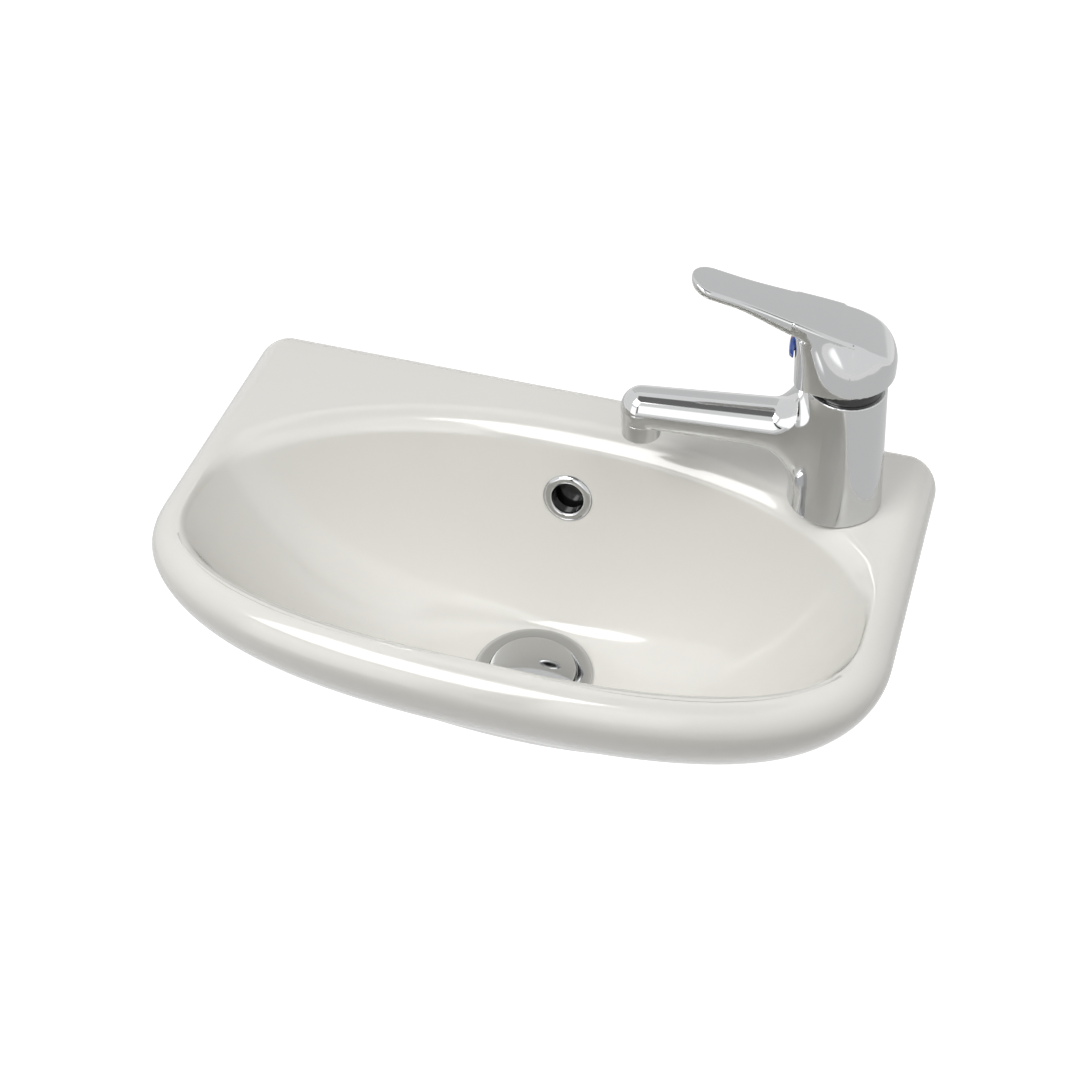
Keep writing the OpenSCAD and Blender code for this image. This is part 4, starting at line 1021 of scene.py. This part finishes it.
def seenRays(tree):
    # 1 for rays of the camera, of mirrors and of glass
    rays = tree.nodes.new("ShaderNodeLightPath").outputs
    seen = calc(tree, "ADD", rays["Is Camera Ray"], rays["Is Glossy Ray"])
    seen = calc(tree, "ADD", seen, rays["Is Transmission Ray"])
    seen.node.use_clamp = True
    return seen


def makeStudio():
    world = bpy.data.worlds.new("studio")
    scene.world = world
    world.use_nodes = True
    tree = world.node_tree
    n, link = tree.nodes, tree.links.new
    n.clear()
    seen, lit, pick = (n.new("ShaderNode" + kind) for kind in ("Background", "Background", "MixShader"))
    seen.inputs["Color"].default_value = (1, 1, 1, 1)
    seen.inputs["Strength"].default_value = studio["seen"]
    lit.inputs["Color"].default_value = (1, 0.995, 0.98, 1)
    lit.inputs["Strength"].default_value = studio["lit"]
    link(seenRays(tree), pick.inputs["Fac"])
    link(lit.outputs["Background"], pick.inputs[1])
    link(seen.outputs["Background"], pick.inputs[2])
    link(pick.outputs["Shader"], n.new("ShaderNodeOutputWorld").inputs["Surface"])

    half, z = studio["floorHalf"], studio["floorZ"]
    floor = newObject("floor", [(-half, -half, z), (half, -half, z), (half, half, z), (-half, half, z)],
                      [(0, 1, 2, 3)])
    mat = bpy.data.materials.new("paleFloor")
    mat.use_nodes = True
    tree = mat.node_tree
    n, link = tree.nodes, tree.links.new
    base = n["Principled BSDF"]
    base.inputs["Base Color"].default_value = (0.66, 0.65, 0.61, 1)
    base.inputs["Roughness"].default_value = 0.8
    glow, total = n.new("ShaderNodeEmission"), n.new("ShaderNodeAddShader")
    link(calc(tree, "MULTIPLY", seenRays(tree), studio["floorGlow"]), glow.inputs["Strength"])
    link(base.outputs["BSDF"], total.inputs[0])
    link(glow.outputs["Emission"], total.inputs[1])
    link(total.outputs["Shader"], n["Material Output"].inputs["Surface"])
    dress(floor, mat)


def direction(azimuth, elevation):
    # azimuth 0 is the front, and grows to the right
    a, e = math.radians(azimuth), math.radians(elevation)
    return Vector((math.sin(a) * math.cos(e), -math.cos(a) * math.cos(e), math.sin(e)))


def softBox(name, azimuth, elevation, distance, width, height, strength):
    # strength is the box's own brightness, and 1 is white
    way = direction(azimuth, elevation)
    light = bpy.data.lights.new(name, "AREA")
    light.shape = "RECTANGLE"
    light.size, light.size_y = width, height
    light.energy = strength * math.pi * width * height
    lamp = bpy.data.objects.new(name, light)
    lamp.location = Vector(lookAt) + way * distance
    lamp.rotation_euler = way.to_track_quat("Z", "Y").to_euler()
    scene.collection.objects.link(lamp)
    return lamp


def card(name, azimuth, elevation, distance, width, height, grey):
    # A panel that faces the part
    way = direction(azimuth, elevation)
    turn = way.to_track_quat("Z", "Y").to_matrix().to_4x4()
    turn.translation = Vector(lookAt) + way * distance
    x, y = width / 2, height / 2
    return panel(name, [turn @ Vector((i, j, 0)) for i, j in ((-x, -y), (x, -y), (x, y), (-x, y))], grey)


def panel(name, corners, grey, edge=0.12):
    # A flat panel that only reflections see, and that fades out over the share `edge` of its width
    piece = newObject(name, [tuple(c) for c in corners], [(0, 1, 2, 3)], 1)
    layer = piece.data.uv_layers.new(name="share")
    for loop, share in zip(piece.data.loops, ((0, 0), (1, 0), (1, 1), (0, 1))):
        layer.data[loop.index].uv = share
    mat = bpy.data.materials.new(name)
    mat.use_nodes = True
    tree = mat.node_tree
    n, link = tree.nodes, tree.links.new
    kinds = ("Emission", "BsdfTransparent", "MixShader")
    glow, clear, pick = (n.new("ShaderNode" + kind) for kind in kinds)
    glow.inputs["Color"].default_value = (grey, grey, grey, 1)
    across, parts = n.new("ShaderNodeUVMap"), n.new("ShaderNodeSeparateXYZ")
    across.uv_map = "share"
    link(across.outputs["UV"], parts.inputs["Vector"])
    product = 1.0
    for axis in "XY":
        fade = n.new("ShaderNodeMapRange")
        fade.interpolation_type = "SMOOTHSTEP"
        fade.inputs["From Max"].default_value = edge
        link(calc(tree, "PINGPONG", parts.outputs[axis], 0.5), fade.inputs["Value"])
        product = calc(tree, "MULTIPLY", fade.outputs["Result"], product)
    link(product, pick.inputs["Fac"])
    link(clear.outputs["BSDF"], pick.inputs[1])
    link(glow.outputs["Emission"], pick.inputs[2])
    link(pick.outputs["Shader"], n["Material Output"].inputs["Surface"])
    dress(piece, mat)
    piece.visible_camera = False
    piece.visible_diffuse = False
    piece.visible_shadow = False
    return piece


framing = dict(lens=66.988, at=(0.23753, -0.84820, 0.80256), pan=17.646, tilt=43.823, roll=-0.653)


def makeCamera():
    data = bpy.data.cameras.new("camera")
    data.lens, data.sensor_width, data.sensor_fit = framing["lens"], 36, "HORIZONTAL"
    data.clip_start, data.clip_end = 0.01, 50
    camera = bpy.data.objects.new("camera", data)
    turns = ((framing["pan"], "Z"), (90 - framing["tilt"], "X"), (framing["roll"], "Z"))
    pan, tilt, roll = (Matrix.Rotation(math.radians(angle), 4, axis) for angle, axis in turns)
    camera.matrix_world = Matrix.Translation(framing["at"]) @ pan @ tilt @ roll
    scene.collection.objects.link(camera)
    scene.camera = camera


# Assembly
def use(piece, material, slot, body, *nodes):
    dress(piece, material)
    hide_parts(*nodes)
    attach(piece, body)
    print("piece:", piece.name, len(piece.data.polygons), "faces")
    return piece


makeCamera()
makeStudio()
softBox("keyBox", -35, 48, 2.0, 1.1, 1.1, 5.1)
softBox("fillBox", 70, 65, 2.0, 1.1, 1.1, 3.4).visible_glossy = False
card("frontPanel", 1, 20.5, 1.2, 0.46, 1.04, 1.7)
card("leftPanel", -34, 2, 1.25, 0.7, 1.1, 1.7)
card("zenith", 0, 77, 2.2, 1.8, 1.5, 0.2)
card("backPanel", 180, 32, 2.5, 5.0, 2.9, 0.8)
panel("groundCard", [(x, y, -0.4) for x, y in ((-2.2, -2.6), (2.2, -2.6), (2.2, 2), (-2.2, 2))], 0.75, 0.05)
card("splitFlag", -13.5, 15, 1.22, 0.12, 1.0, 0.02)
materials = makeMaterials()
slots = dict(ceramic=["basin_body"],
             chrome=["overflow_ring", "waste_body", "plug_cap", "tap_body", "lever", "aerator_shell"],
             shroudShade=["shroud_ring"],
             brass=["waste_backnut", "tap_stud", "stud_nut", "cartridge_nut"],
             steel=["click_spring", "plug_rod", "horseshoe_metal", "cartridge_stem", "stem_pin",
                    "lever_screw"],
             rubber=["waste_flange_seal", "waste_taper_washer", "plug_gasket", "tap_base_seal",
                     "horseshoe_rubber", "cartridge_seals", "aerator_washer"],
             nylon=["waste_slip_washer", "click_barrel", "cartridge_case", "cartridge_rotor",
                    "aerator_insert"],
             alumina=["fixed_disc", "moving_disc"], button=["temperature_button"])
for slot, names in slots.items():
    for name in names:
        dress(nodes[name], materials[slot])
print("stage: studio and materials")

use(makeBasin(), materials["ceramic"], "ceramic", "root", "basin_body")
print("stage: basin")
use(makeTap(), materials["chrome"], "chrome", "root", "tap_body")
print("stage: tap")
use(makeLever(), materials["chrome"], "chrome", "handle", "lever")
print("stage: lever")
use(makeRing(), materials["chrome"], "chrome", "root", "overflow_ring")
use(makeCap(), materials["chrome"], "chrome", "plug", "plug_cap")
use(makeFlange(), materials["chrome"], "chrome", "root", "waste_body")
use(makeShroud(), materials["shroudShade"], "rubber", "root", "shroud_ring")
use(makeAerator(), materials["chrome"], "chrome", "root", "aerator_shell")
nut = hexNut("backnut", waste["nutFlats"], waste["nutBore"], waste["nut"], waste["nut"] + waste["nutH"],
             wasteMatrix, math.radians(waste["nutTurn"]))
use(nut, materials["brass"], "brass", "root", "waste_backnut")
print("stage: turned pieces")

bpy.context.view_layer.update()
